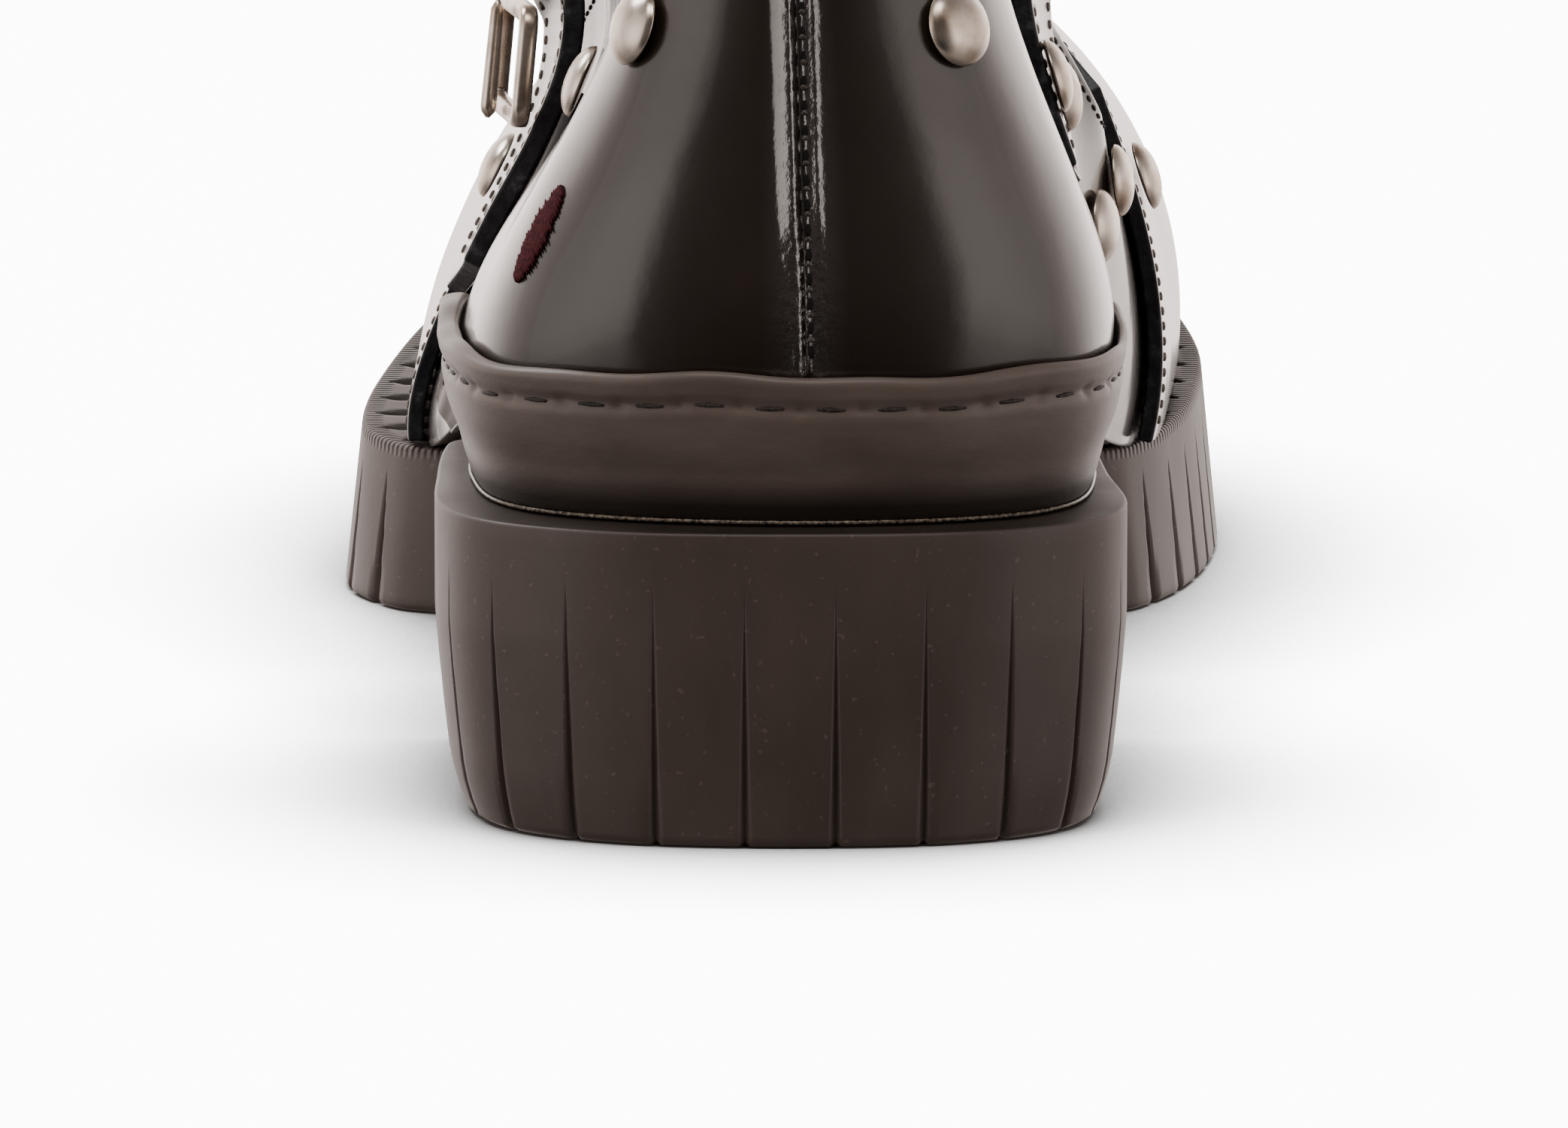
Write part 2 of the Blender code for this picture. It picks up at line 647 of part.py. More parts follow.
def strap_crown(left, right, share):
    """A row across the strap above the opening, on an arch between the two edges."""
    middle = len(ACROSS) // 2
    centre = left[middle] * (1 - share) + right[middle] * share
    arch = math.sin(math.pi * share) ** 0.65
    centre = centre + np.array([0.0, STRAP_LEAD, STRAP_RISE]) * arch
    lean = np.array([0.0, math.cos(CROWN_SLOPE), -math.sin(CROWN_SLOPE)])
    own = (left[-1] - left[0]) * (1 - share) + (right[-1] - right[0]) * share
    own = own / np.linalg.norm(own)
    across = own + (lean - own) * arch
    across /= np.linalg.norm(across)
    return centre + across * (ACROSS * STRAP_WIDTH / 2)[:, None]


def strap_rows():
    lift = TAB_THICKNESS + 2 * GAP
    rows = [strap_stop(s, STRAP_WIDTH, 2 * GAP + s.lift * lift) for s in STRAP_LATERAL]
    far = [strap_stop(s, STRAP_WIDTH, 2 * GAP) for s in STRAP_MEDIAL]
    crowns = [strap_crown(rows[-1], far[0], share) for share in (0.16, 0.38, 0.62, 0.84)]
    return np.array(rows + crowns + far)


def resampled(rows, per_span):
    """Catmull-Rom through the rows of an open strip, with its end rows kept."""
    padded = np.concatenate([2 * rows[:1] - rows[1:2], rows, 2 * rows[-1:] - rows[-2:-1]])
    flat = padded.reshape(len(padded), -1)
    at = np.linspace(1, len(rows), (len(rows) - 1) * per_span + 1)
    at[-1] -= 1e-9
    return closed_curve(flat, at).reshape(-1, *rows.shape[1:])


def grid_normals(grid):
    along = np.gradient(grid, axis=0)
    across = np.gradient(grid, axis=1)
    normal = np.cross(along, across)
    return normal / np.linalg.norm(normal, axis=-1)[..., None]


def make_instep_strap(leather):
    inner = resampled(strap_rows(), 2)
    outer = inner + STRAP_THICKNESS * grid_normals(inner)
    slab_solid("instep_strap", inner, outer, leather)
    return outer


def make_buckle_tab(leather):
    stops = [StrapStop("lateral", 5.22, height, 0.0) for height in (0.26, 0.38, 0.50, 0.62, 0.72)]
    inner = np.array([strap_stop(stop, TAB_WIDTH, GAP) for stop in stops])
    outer = np.array([strap_stop(stop, TAB_WIDTH, GAP + TAB_THICKNESS) for stop in stops])
    slab_solid("buckle_tab", inner, outer, leather)


def placed_on(grid, row, column):
    """Axes of a strap at one of its points: along it, across it and outward, as a matrix."""
    along = Vector(grid[row + 1, column] - grid[row - 1, column]).normalized()
    across = Vector(grid[row, -1] - grid[row, 0]).normalized()
    outward = along.cross(across).normalized()
    across = outward.cross(along).normalized()
    turn = Matrix((along, across, outward)).transposed().to_4x4()
    return Matrix.Translation(Vector(grid[row, column])) @ turn


def rounded_rectangle(half_x, half_y, radius, steps=4):
    points = []
    corners = ((1, 1, 0), (-1, 1, 90), (-1, -1, 180), (1, -1, 270))
    for sx, sy, start in corners:
        for k in range(steps + 1):
            angle = math.radians(start + 90.0 * k / steps)
            x = sx * (half_x - radius) + radius * math.cos(angle)
            y = sy * (half_y - radius) + radius * math.sin(angle)
            points.append((x, y))
    return np.array(points)


def make_buckle(steel, strap):
    """Rounded frame standing over the strap, and a prong from its upper to its lower bar."""
    place = placed_on(strap, BUCKLE_ROW, len(ACROSS) // 2)
    place = place @ Matrix.Translation((BUCKLE_SHIFT, 0.0, 0.0))
    local = [place.inverted() @ Vector(point) for point in strap.reshape(-1, 3)]
    under = [p.z for p in local if abs(p.x) < 0.7 * BUCKLE_LENGTH and abs(p.y) < BUCKLE_WIDTH / 2]
    lift = max(under) + CURVED_GAP
    big = rounded_rectangle(BUCKLE_LENGTH / 2, BUCKLE_WIDTH / 2, 1.3 * BUCKLE_BAR)
    small = rounded_rectangle(
        BUCKLE_LENGTH / 2 - BUCKLE_BAR, BUCKLE_WIDTH / 2 - BUCKLE_BAR, 0.5 * BUCKLE_BAR
    )
    soft = 0.2 * BUCKLE_BAR
    profile = [
        (0.15, lift),
        (0.0, lift + soft),
        (0.0, lift + BUCKLE_BAR - soft),
        (0.15, lift + BUCKLE_BAR),
        (0.85, lift + BUCKLE_BAR),
        (1.0, lift + BUCKLE_BAR - soft),
        (1.0, lift + soft),
        (0.85, lift),
    ]
    count = len(big)
    points, faces = [], []
    for share, z in profile:
        ring = big * (1 - share) + small * share
        points += [tuple(place @ Vector((x, y, z))) for x, y in ring]
    for r in range(len(profile)):
        s = (r + 1) % len(profile)
        for i in range(count):
            j = (i + 1) % count
            faces.append((r * count + i, r * count + j, s * count + j, s * count + i))
    build_mesh("buckle_frame", points, faces, steel)
    reach = BUCKLE_LENGTH / 2
    level = lift + BUCKLE_BAR + GAP
    prong_radius = 0.45 * BUCKLE_BAR
    rows = []
    for at in (-reach, -0.7 * reach, 0.7 * reach, reach * 0.98):
        ring = []
        for k in range(8):
            angle = math.tau * k / 8
            y = prong_radius * math.cos(angle)
            z = level + prong_radius + prong_radius * math.sin(angle)
            ring.append(tuple(place @ Vector((at, y, z))))
        rows.append(ring)
    faces = [tuple(range(8)), tuple(range(24, 32))]
    for r in range(3):
        for k in range(8):
            m = (k + 1) % 8
            faces.append((8 * r + k, 8 * r + m, 8 * r + 8 + m, 8 * r + 8 + k))
    build_mesh("buckle_prong", [p for ring in rows for p in ring], faces, steel)


def stud_mesh():
    profile = [
        (1.00, 0.00),
        (1.00, 0.22),
        (0.86, 0.55),
        (0.55, 0.85),
    ]
    bm = bmesh.new()
    rings = []
    for share, height in profile:
        ring = []
        for k in range(STUD_SIDES):
            angle = math.tau * k / STUD_SIDES
            radius = share * STUD_RADIUS
            place = (radius * math.cos(angle), radius * math.sin(angle), height * STUD_HEIGHT)
            ring.append(bm.verts.new(place))
        rings.append(ring)
    for low, high in zip(rings, rings[1:]):
        for k in range(STUD_SIDES):
            m = (k + 1) % STUD_SIDES
            bm.faces.new((low[k], low[m], high[m], high[k]))
    bm.faces.new(rings[0][::-1])
    tip = bm.verts.new((0.0, 0.0, STUD_HEIGHT))
    for k in range(STUD_SIDES):
        bm.faces.new((rings[-1][k], rings[-1][(k + 1) % STUD_SIDES], tip))
    mesh = bpy.data.meshes.new("stud")
    bm.to_mesh(mesh)
    bm.free()
    mesh.shade_smooth()
    mesh.set_sharp_from_angle(angle=math.radians(50.0))
    return mesh


def stud_lift(station, height, seat, normal):
    """How far the upper rises above the seat's own plane within a stud's radius."""
    around, rising = np.meshgrid(np.linspace(-0.5, 0.5, 21), np.linspace(-0.25, 0.25, 21))
    away = upper_point(station + around, np.clip(height + rising, 0.0, 1.0)) - seat
    above = away @ np.array(normal)
    beside = np.linalg.norm(away - above[..., None] * np.array(normal), axis=-1)
    return max(0.0, float(above[beside < 1.1 * STUD_RADIUS].max()))


def make_studs(steel):
    mesh = stud_mesh()
    mesh.materials.append(steel)
    cover = {
        "upper": GAP,
        "vamp": CURVED_GAP + GAP + VAMP_THICKNESS,
        "strap": 2.5 * GAP + STRAP_THICKNESS,
    }
    for number, stud in enumerate(STUDS, 1):
        station = side_station(stud.side, stud.station)
        seat = upper_skin(station, stud.height, 0.0)
        normal = Vector(upper_skin(station, stud.height, 1.0) - seat).normalized()
        lift = cover[stud.carrier] + stud_lift(station, stud.height, seat, normal)
        obj = bpy.data.objects.new("stud_%02d" % number, mesh)
        bpy.context.scene.collection.objects.link(obj)
        obj.location = Vector(seat) + normal * lift
        obj.rotation_mode = "QUATERNION"
        obj.rotation_quaternion = normal.to_track_quat("Z", "Y")


def centre_on_origin():
    """Hangs every piece on one empty that puts the middle of the shoe's footprint at the origin."""
    bpy.context.view_layer.update()
    pieces = [obj for obj in bpy.context.scene.objects if obj.type == "MESH"]
    corners = []
    for obj in pieces:
        if not obj.hide_render:
            corners += [obj.matrix_world @ v.co for v in obj.data.vertices]
    middle_x = (min(c.x for c in corners) + max(c.x for c in corners)) / 2
    middle_y = (min(c.y for c in corners) + max(c.y for c in corners)) / 2
    holder = bpy.data.objects.new("shoe", None)
    bpy.context.scene.collection.objects.link(holder)
    for obj in pieces:
        obj.parent = holder
    holder.location = (-middle_x, -middle_y, 0.0)


def main():
    global UPPER_FRAME
    clear_scene()
    UPPER_FRAME = upper_frame()
    polished = make_material("polished_leather", (0.020, 0.014, 0.011), 0.22)
    matt = make_material("band_leather", (0.045, 0.036, 0.032), 0.50)
    rubber = make_material("sole_rubber", (0.040, 0.032, 0.028), 0.55)
    lining = make_material("lining_leather", (0.060, 0.050, 0.042), 0.60)
    steel = make_material("satin_nickel", (0.760, 0.700, 0.630), 0.30, 1.0)
    make_outsole(rubber)
    make_heel_block(rubber)
    make_heel_band(matt)
    make_insole(lining)
    make_upper(polished)
    make_vamp(polished)
    strap_top = make_instep_strap(polished)
    make_buckle_tab(polished)
    make_buckle(steel, strap_top)
    make_studs(steel)
    centre_on_origin()


main()
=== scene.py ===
import math
import random

import bmesh
import bpy
import numpy as np
from mathutils import Matrix, Vector


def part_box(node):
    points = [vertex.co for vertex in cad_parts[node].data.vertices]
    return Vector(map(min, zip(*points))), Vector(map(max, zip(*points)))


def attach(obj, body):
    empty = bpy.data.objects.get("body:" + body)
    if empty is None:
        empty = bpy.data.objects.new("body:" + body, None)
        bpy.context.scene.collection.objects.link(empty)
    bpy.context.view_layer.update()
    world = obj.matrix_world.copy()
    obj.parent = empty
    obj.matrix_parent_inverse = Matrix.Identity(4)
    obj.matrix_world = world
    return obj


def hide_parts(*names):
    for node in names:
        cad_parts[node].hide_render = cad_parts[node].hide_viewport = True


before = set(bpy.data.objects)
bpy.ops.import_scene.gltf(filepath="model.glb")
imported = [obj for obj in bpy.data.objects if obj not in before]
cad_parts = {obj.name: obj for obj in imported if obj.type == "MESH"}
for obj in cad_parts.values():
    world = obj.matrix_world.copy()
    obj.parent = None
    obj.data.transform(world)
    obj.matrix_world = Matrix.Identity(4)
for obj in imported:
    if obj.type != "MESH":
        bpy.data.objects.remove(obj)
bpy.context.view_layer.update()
mm = 0.001
print("frame loaded")


# Measures of the shoe, in metres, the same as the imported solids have

shoe = {
    "length": 0.284,
    "ballWidth": 0.100,
    "heelWidth": 0.0694,
    "heelLength": 0.068,
    "heelHeight": 0.0315,
    "platformHeight": 0.0182,
    "platformStart": 0.514,
    "toeRise": 0.0130,
    "toeSpring": 0.0110,
    "backHeight": 0.101,
    "wall": 0.0020,
    "gap": 0.0003,
    "curvedGap": 0.0005,
    "soleFlare": 0.0020,
    "seat": 0.0047,
    "rimHeight": 0.0104,
    "rimFront": 0.0025,
    "rimWidth": 0.0044,
    "bandEnd": 0.425,
    "waist": 0.0070,
    "vampThickness": 0.0018,
    "strapWidth": 0.0190,
    "strapThickness": 0.0023,
    "strapRise": 0.0095,
    "strapLead": 0.0100,
    "crownSlope": math.radians(30.0),
    "tabWidth": 0.0150,
    "tabThickness": 0.0012,
    "sideShift": -0.00029,
}
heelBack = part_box("heel_block")[0][1]
footPlace = np.array([shoe["sideShift"], heelBack, 0.0])

# Rows from the heel to the toe: y, x, topY, topX, topZ, swell, rise, reach, drop
backRow = (0.021, 0.032, 0.032, 0.012, 1.000, 0.14, 0.31, 0.03, 0.31)
toeRow = (0.968, 0.010, 0.563, 0.020, 0.745, 0.07, 0.66, 0.90, 0.20)
lateralRows = [
    backRow,
    (0.032, -0.223, 0.046, -0.135, 0.980, 0.15, 0.31, 0.02, 0.31),
    (0.063, -0.382, 0.085, -0.200, 0.931, 0.18, 0.31, -0.02, 0.34),
    (0.127, -0.437, 0.148, -0.240, 0.861, 0.20, 0.31, -0.08, 0.38),
    (0.218, -0.447, 0.225, -0.272, 0.812, 0.20, 0.33, -0.11, 0.40),
    (0.324, -0.446, 0.303, -0.275, 0.792, 0.05, 0.27, -0.12, 0.41),
    (0.430, -0.425, 0.373, -0.290, 0.700, 0.06, 0.26, -0.04, 0.30),
    (0.521, -0.412, 0.437, -0.305, 0.575, 0.04, 0.24, 0.12, 0.30),
    (0.616, -0.400, 0.482, -0.262, 0.594, 0.02, 0.28, 0.20, 0.24),
    (0.722, -0.390, 0.518, -0.200, 0.655, 0.02, 0.34, 0.40, 0.22),
    (0.827, -0.345, 0.542, -0.130, 0.706, 0.03, 0.42, 0.60, 0.20),
    (0.920, -0.230, 0.558, -0.060, 0.735, 0.05, 0.54, 0.78, 0.19),
    toeRow,
]
medialRows = [
    backRow,
    (0.032, 0.267, 0.046, 0.195, 0.980, 0.15, 0.31, 0.02, 0.31),
    (0.063, 0.396, 0.085, 0.290, 0.931, 0.19, 0.31, 0.00, 0.32),
    (0.127, 0.435, 0.148, 0.318, 0.861, 0.22, 0.31, -0.02, 0.33),
    (0.218, 0.430, 0.225, 0.330, 0.812, 0.21, 0.32, -0.03, 0.33),
    (0.324, 0.415, 0.303, 0.328, 0.792, 0.09, 0.29, -0.02, 0.32),
    (0.430, 0.390, 0.373, 0.355, 0.723, 0.08, 0.28, 0.02, 0.28),
    (0.521, 0.401, 0.437, 0.400, 0.590, 0.08, 0.29, 0.25, 0.32),
    (0.616, 0.415, 0.482, 0.345, 0.604, 0.07, 0.41, 0.30, 0.26),
    (0.722, 0.430, 0.518, 0.262, 0.665, 0.07, 0.49, 0.46, 0.15),
    (0.827, 0.380, 0.542, 0.185, 0.713, 0.06, 0.52, 0.62, 0.16),
    (0.920, 0.245, 0.558, 0.100, 0.738, 0.07, 0.58, 0.78, 0.18),
    toeRow,
]
toeStation = len(lateralRows) - 1
lap = 2 * toeStation  # stations once round the foot, 0 at the back and 12 at the toe

# Outlines of the sole: y, lateral, medial
heelEdge = [
    (0.000, 0.009, 0.009),
    (0.026, -0.245, 0.260),
    (0.132, -0.422, 0.432),
    (0.309, -0.499, 0.496),
    (0.618, -0.511, 0.478),
    (0.882, -0.508, 0.465),
    (0.960, -0.490, 0.446),
    (0.982, -0.432, 0.389),
    (0.995, -0.216, 0.194),
    (1.000, 0.000, 0.000),
]
soleEdge = [
    (0.2412, 0.000, 0.000),
    (0.2440, -0.317, 0.288),
    (0.2530, -0.388, 0.353),
    (0.317, -0.388, 0.348),
    (0.405, -0.366, 0.325),
    (0.486, -0.358, 0.318),
    (0.509, -0.368, 0.335),
    (0.520, -0.402, 0.372),
    (0.542, -0.445, 0.402),
    (0.581, -0.476, 0.435),
    (0.641, -0.478, 0.468),
    (0.715, -0.457, 0.486),
    (0.785, -0.423, 0.472),
    (0.849, -0.370, 0.434),
    (0.905, -0.295, 0.360),
    (0.951, -0.212, 0.280),
    (0.981, -0.100, 0.172),
    (0.993, 0.035, 0.035),
]


def ease(value):
    t = np.clip(value, 0.0, 1.0)
    return t * t * (3.0 - 2.0 * t)


def localWidth(y):
    widening = ease((y / shoe["length"] - 0.25) / 0.35)
    return shoe["heelWidth"] + (shoe["ballWidth"] - shoe["heelWidth"]) * widening


def bedHeight(y):
    # the surface that upper and insole stand on
    share = y / shoe["length"]
    seatTop = shoe["heelHeight"] + shoe["gap"] + shoe["seat"]
    fallStart = shoe["heelLength"] + shoe["gap"]
    fall = ease((y - fallStart) / (0.545 * shoe["length"] - shoe["heelLength"]))
    lift = shoe["toeRise"] * np.clip((share - 0.53) / 0.47, 0.0, 1.0) ** 1.6
    return seatTop + (shoe["platformHeight"] - seatTop) * fall + lift


def bandFloor(y):
    thinning = 0.75 * ease((y / shoe["length"] - 0.25) / 0.17)
    return bedHeight(y) - shoe["seat"] * (1.0 - thinning)


def soleTop(y):
    underBand = bandFloor(y) - shoe["gap"]
    blend = ease((y / shoe["length"] - shoe["bandEnd"]) / 0.03)
    return underBand + (bedHeight(y) - underBand) * blend


def soleBottom(y):
    share = y / shoe["length"]
    tread = shoe["toeSpring"] * np.clip((share - 0.69) / 0.31, 0.0, 1.0) ** 2
    waist = soleTop(y) - shoe["waist"]
    step = np.clip((share - shoe["platformStart"] + 0.006) / 0.006, 0.0, 1.0)
    return waist + (tread - waist) * step


def closedCurve(rows, at):
    # round curve through the rows, read at places counted in rows
    rows = np.asarray(rows, float)
    at = np.asarray(at, float)
    first = np.floor(at).astype(int)
    t = (at - first)[..., None]
    p0, p1, p2, p3 = (rows[(first + k) % len(rows)] for k in (-1, 0, 1, 2))
    return 0.5 * (2 * p1 + (p2 - p0) * t + (2 * p0 - 5 * p1 + 4 * p2 - p3) * t**2
                  + (3 * p1 - p0 - 3 * p2 + p3) * t**3)


def bothSides(lateral, medial):
    return np.array(list(lateral) + list(medial)[-2:0:-1])


def upperControls():
    base, top, bends = [], [], []
    for side in (lateralRows, medialRows):
        low, high = [], []
        for y, x, topY, topX, topZ, *_ in side:
            y, topY = y * shoe["length"], topY * shoe["length"]
            low.append((x * localWidth(y), y, bedHeight(y) + shoe["gap"]))
            high.append((topX * localWidth(topY), topY, topZ * shoe["backHeight"]))
        base.append(low)
        top.append(high)
        bends.append([row[5:] for row in side])
    base, top, bends = bothSides(*base), bothSides(*top), bothSides(*bends)
    along = np.roll(base, -1, 0) - np.roll(base, 1, 0)
    outward = np.stack([-along[:, 1], along[:, 0], np.zeros(len(along))], 1)
    outward /= np.linalg.norm(outward, axis=1)[:, None]
    forward = base - top
    forward[:, 2] = 0.0
    forward /= np.linalg.norm(forward, axis=1)[:, None]
    height = (top[:, 2] - base[:, 2])[:, None]
    up = np.array([[0.0, 0.0, 1.0]])
    low = base + height * (outward * bends[:, 0:1] + up * bends[:, 1:2])
    high = top + height * (forward * bends[:, 2:3] - up * bends[:, 3:4])
    return np.concatenate([base, low, high, top], 1)


controls = upperControls()


def skinPoint(station, height):
    station, height = np.broadcast_arrays(np.asarray(station, float), np.asarray(height, float))
    p = closedCurve(controls, station).reshape(station.shape + (4, 3))
    t = height[..., None]
    return (p[..., 0, :] * (1 - t) ** 3 + p[..., 1, :] * 3 * t * (1 - t) ** 2
            + p[..., 2, :] * 3 * t**2 * (1 - t) + p[..., 3, :] * t**3)


def skinNormal(station, height):
    step = 1e-3
    around = skinPoint(np.add(station, step), height) - skinPoint(np.add(station, -step), height)
    rising = skinPoint(station, np.add(height, step)) - skinPoint(station, np.add(height, -step))
    normal = np.cross(rising, around)
    return normal / np.linalg.norm(normal, axis=-1)[..., None]


def skin(station, height, offset=0.0):
    # the upper's outer face, moved outward by offset
    return skinPoint(station, height) + np.asarray(offset)[..., None] * skinNormal(station, height)


def columnLength(station):
    heights = np.linspace(0.0, 1.0, 12)
    points = np.array([skinPoint(station, h) for h in heights])
    return np.linalg.norm(np.diff(points, axis=0), axis=-1).sum(0)


def heightAt(station, z):
    low, high = np.zeros_like(station), np.ones_like(station)
    for _ in range(30):
        middle = (low + high) / 2
        below = skinPoint(station, middle)[..., 2] < z
        low, high = np.where(below, middle, low), np.where(below, high, middle)
    return (low + high) / 2


def sideStation(side, station):
    return station if side == "lateral" else lap - station


# Materials

def newLook(name, color, roughness, metallic=0.0):
    material = bpy.data.materials.new(name)
    material.use_nodes = True
    shader = material.node_tree.nodes["Principled BSDF"]
    shader.inputs["Base Color"].default_value = (*color, 1.0)
    shader.inputs["Roughness"].default_value = roughness
    shader.inputs["Metallic"].default_value = metallic
    return material


def addNode(material, kind, **values):
    node = material.node_tree.nodes.new("ShaderNode" + kind)
    for key, value in values.items():
        if hasattr(node, key):
            setattr(node, key, value)
        else:
            node.inputs[key.replace("_", " ")].default_value = value
    return node


def join(material, source, output, target, socket):
    material.node_tree.links.new(source.outputs[output], target.inputs[socket])


def shaderOf(material):
    return material.node_tree.nodes["Principled BSDF"]


def noiseAt(material, scale, detail=3.0, stretch=(1.0, 1.0, 1.0)):
    coords = addNode(material, "TexCoord")
    mapping = addNode(material, "Mapping")
    mapping.inputs["Scale"].default_value = stretch
    noise = addNode(material, "TexNoise", Scale=scale, Detail=detail, Roughness=0.55)
    join(material, coords, "Object", mapping, "Vector")
    join(material, mapping, 0, noise, "Vector")
    return noise


def ramp(material, source, output, stops):
    node = addNode(material, "ValToRGB")
    node.color_ramp.elements[0].position = stops[0][0]
    node.color_ramp.elements[1].position = stops[-1][0]
    for place, _ in stops[1:-1]:
        node.color_ramp.elements.new(place)
    for element, (_, color) in zip(node.color_ramp.elements, stops):
        element.color = (*color, 1.0)
    join(material, source, output, node, "Fac")
    return node


def bumpChain(material, layers, socket="Normal"):
    # each layer is (node, output, strength, distance)
    last = None
    for node, output, strength, distance in layers:
        bump = addNode(material, "Bump", Strength=strength, Distance=distance)
        join(material, node, output, bump, "Height")
        if last:
            join(material, last, 0, bump, "Normal")
        last = bump
    join(material, last, 0, shaderOf(material), socket)


def sheetAxes(material):
    # the two coordinates of a piece's own sheet
    coords = addNode(material, "TexCoord")
    split = addNode(material, "SeparateXYZ")
    join(material, coords, "UV", split, "Vector")
    return split


def blend(material, kind, first, firstOutput, second):
    # the whole of both colours, added or multiplied
    node = addNode(material, "Mix", data_type="RGBA", blend_type=kind)
    node.inputs["Factor"].default_value = 1.0
    join(material, first, firstOutput, node, 6)
    join(material, second, 0, node, 7)
    return node


def product(material, first, second):
    node = addNode(material, "Math", operation="MULTIPLY")
    join(material, first, 0, node, 0)
    join(material, second, 0, node, 1)
    return node


def clouded(material, source, stops, socket="Base Color"):
    # colour that follows a noise
    tone = ramp(material, source, 0, stops)
    join(material, tone, 0, shaderOf(material), socket)


def grey(value):
    return (value, value, value)


leatherLook = {
    "color": (0.0190, 0.0118, 0.0085),
    "wearAndShade": (0.0300, 0.0195, 0.0145),
    "wornStops": (0.35, 0.70),
    "roughness": 0.32,
    "coat": 1.0,
    "coatRoughness": 0.115,
    "coatIor": 1.52,
    "seamHighlightIor": 3.0,  # painted highlight: the coat reflects more strongly where the hide turns into the back seam, so it shines most there
    "cloud": 55.0,
    "grain": 1500.0,
    "pores": 420.0,
    "wave": 90.0,
    "pull": 130.0,
    "pullStretch": (1.0, 1.0, 0.35),
    "crumple": 900.0,
    "crumpleStretch": (1.0, 1.0, 0.7),
    "crumpleReach": (0.012, 0.045),  # in shares of the sheet's columns, which are crowded there
}


def polishedLeather(name, crinkled=False):
    look = leatherLook
    material = newLook(name, look["color"], look["roughness"])
    shader = shaderOf(material)
    shader.inputs["Coat Weight"].default_value = look["coat"]
    shader.inputs["Coat Roughness"].default_value = look["coatRoughness"]
    shader.inputs["Coat IOR"].default_value = look["coatIor"]
    cloud = noiseAt(material, look["cloud"], 4.0)
    clouded(material, cloud, list(zip(look["wornStops"], (look["color"], look["wearAndShade"]))))
    grain = noiseAt(material, look["grain"], 2.0)
    pores = noiseAt(material, look["pores"], 3.0)
    wave = noiseAt(material, look["wave"], 1.0)
    pull = noiseAt(material, look["pull"], 2.0, look["pullStretch"])
    bumpChain(material, [(wave, 0, 0.5, 0.45 * mm), (pores, 0, 0.30, 0.05 * mm), (grain, 0, 0.25, 0.03 * mm)])
    layers = [(wave, 0, 0.5, 0.30 * mm), (pull, 0, 0.5, 0.16 * mm), (pores, 0, 0.35, 0.05 * mm)]
    if crinkled:
        # the hide is crumpled beside the back seam, on both sides of the sheet's first edge
        crumple = noiseAt(material, look["crumple"], 4.0, look["crumpleStretch"])
        fold = addNode(material, "Math", operation="PINGPONG")
        fold.inputs[1].default_value = 0.5
        join(material, sheetAxes(material), "X", fold, 0)
        near = ramp(material, fold, 0, list(zip(look["crumpleReach"], (grey(1.0), grey(0.0)))))
        layers.append((product(material, crumple, near), 0, 1.0, 0.30 * mm))
        # painted highlight: the coat IOR rises beside the back seam to brighten the roll's reflection
        sheen = addNode(material, "MapRange")
        sheen.inputs["To Min"].default_value = look["coatIor"]
        sheen.inputs["To Max"].default_value = look["seamHighlightIor"]
        join(material, near, 0, sheen, "Value")
        join(material, sheen, 0, shader, "Coat IOR")
    bumpChain(material, layers, "Coat Normal")
    return material


bandHideLook = {
    "color": (0.165, 0.128, 0.110),
    "roughness": 0.48,
    "coat": 0.25,
    "coatRoughness": 0.32,
    "tones": [(0.3, (0.125, 0.095, 0.081)), (0.7, (0.200, 0.160, 0.139))],
    # painted shade: the foot of the band, where its face curves in underneath, is darkened nearly to black; the
    # sheet's second coordinate runs up its section
    "foot": [(0.02, (0.08, 0.07, 0.07)), (0.15, (0.16, 0.15, 0.14)), (0.27, grey(1.0))],
}


def bandLeather():
    look = bandHideLook
    material = newLook("bandLeather", look["color"], look["roughness"])
    shader = shaderOf(material)
    shader.inputs["Coat Weight"].default_value = look["coat"]
    shader.inputs["Coat Roughness"].default_value = look["coatRoughness"]
    cloud = noiseAt(material, 60.0, 6.0, (1.0, 1.0, 2.5))
    tone = ramp(material, cloud, 0, look["tones"])
    # painted shade: the base colour darkens toward the band's foot
    rise = ramp(material, sheetAxes(material), "Y", look["foot"])
    join(material, blend(material, "MULTIPLY", tone, 0, rise), 2, shader, "Base Color")
    grain = noiseAt(material, 1700.0, 3.0)
    fibres = noiseAt(material, 500.0, 3.0, (1.0, 1.0, 3.0))
    waves = noiseAt(material, 80.0, 2.0)
    bumpChain(material, [(waves, 0, 0.5, 0.30 * mm), (fibres, 0, 0.4, 0.08 * mm), (grain, 0, 0.4, 0.04 * mm)])
    return material


edgeLook = {
    "color": (0.0125, 0.0125, 0.0145),
    "roughness": 0.62,
    "tones": [
        (0.40, (0.006, 0.006, 0.008)),
        (0.58, (0.020, 0.022, 0.027)),
        (0.74, (0.120, 0.125, 0.140)),
    ],
}


def rawEdge():
    material = newLook("rawEdge", edgeLook["color"], edgeLook["roughness"])
    fibres = noiseAt(material, 1600.0, 4.0)
    clouded(material, noiseAt(material, 420.0, 6.0), edgeLook["tones"])
    lumps = noiseAt(material, 520.0, 3.0)
    bumpChain(material, [(lumps, 0, 0.8, 0.25 * mm), (fibres, 0, 0.8, 0.12 * mm)])
    return material


liningLook = {
    "color": (0.052, 0.037, 0.026),
    "roughness": 0.62,
    "tones": [(0.3, (0.036, 0.025, 0.018)), (0.72, (0.075, 0.054, 0.038))],
}


def liningLeather():
    material = newLook("liningLeather", liningLook["color"], liningLook["roughness"])
    clouded(material, noiseAt(material, 45.0, 5.0), liningLook["tones"])
    bumpChain(material, [(noiseAt(material, 1400.0, 4.0), 0, 0.5, 0.08 * mm)])
    return material


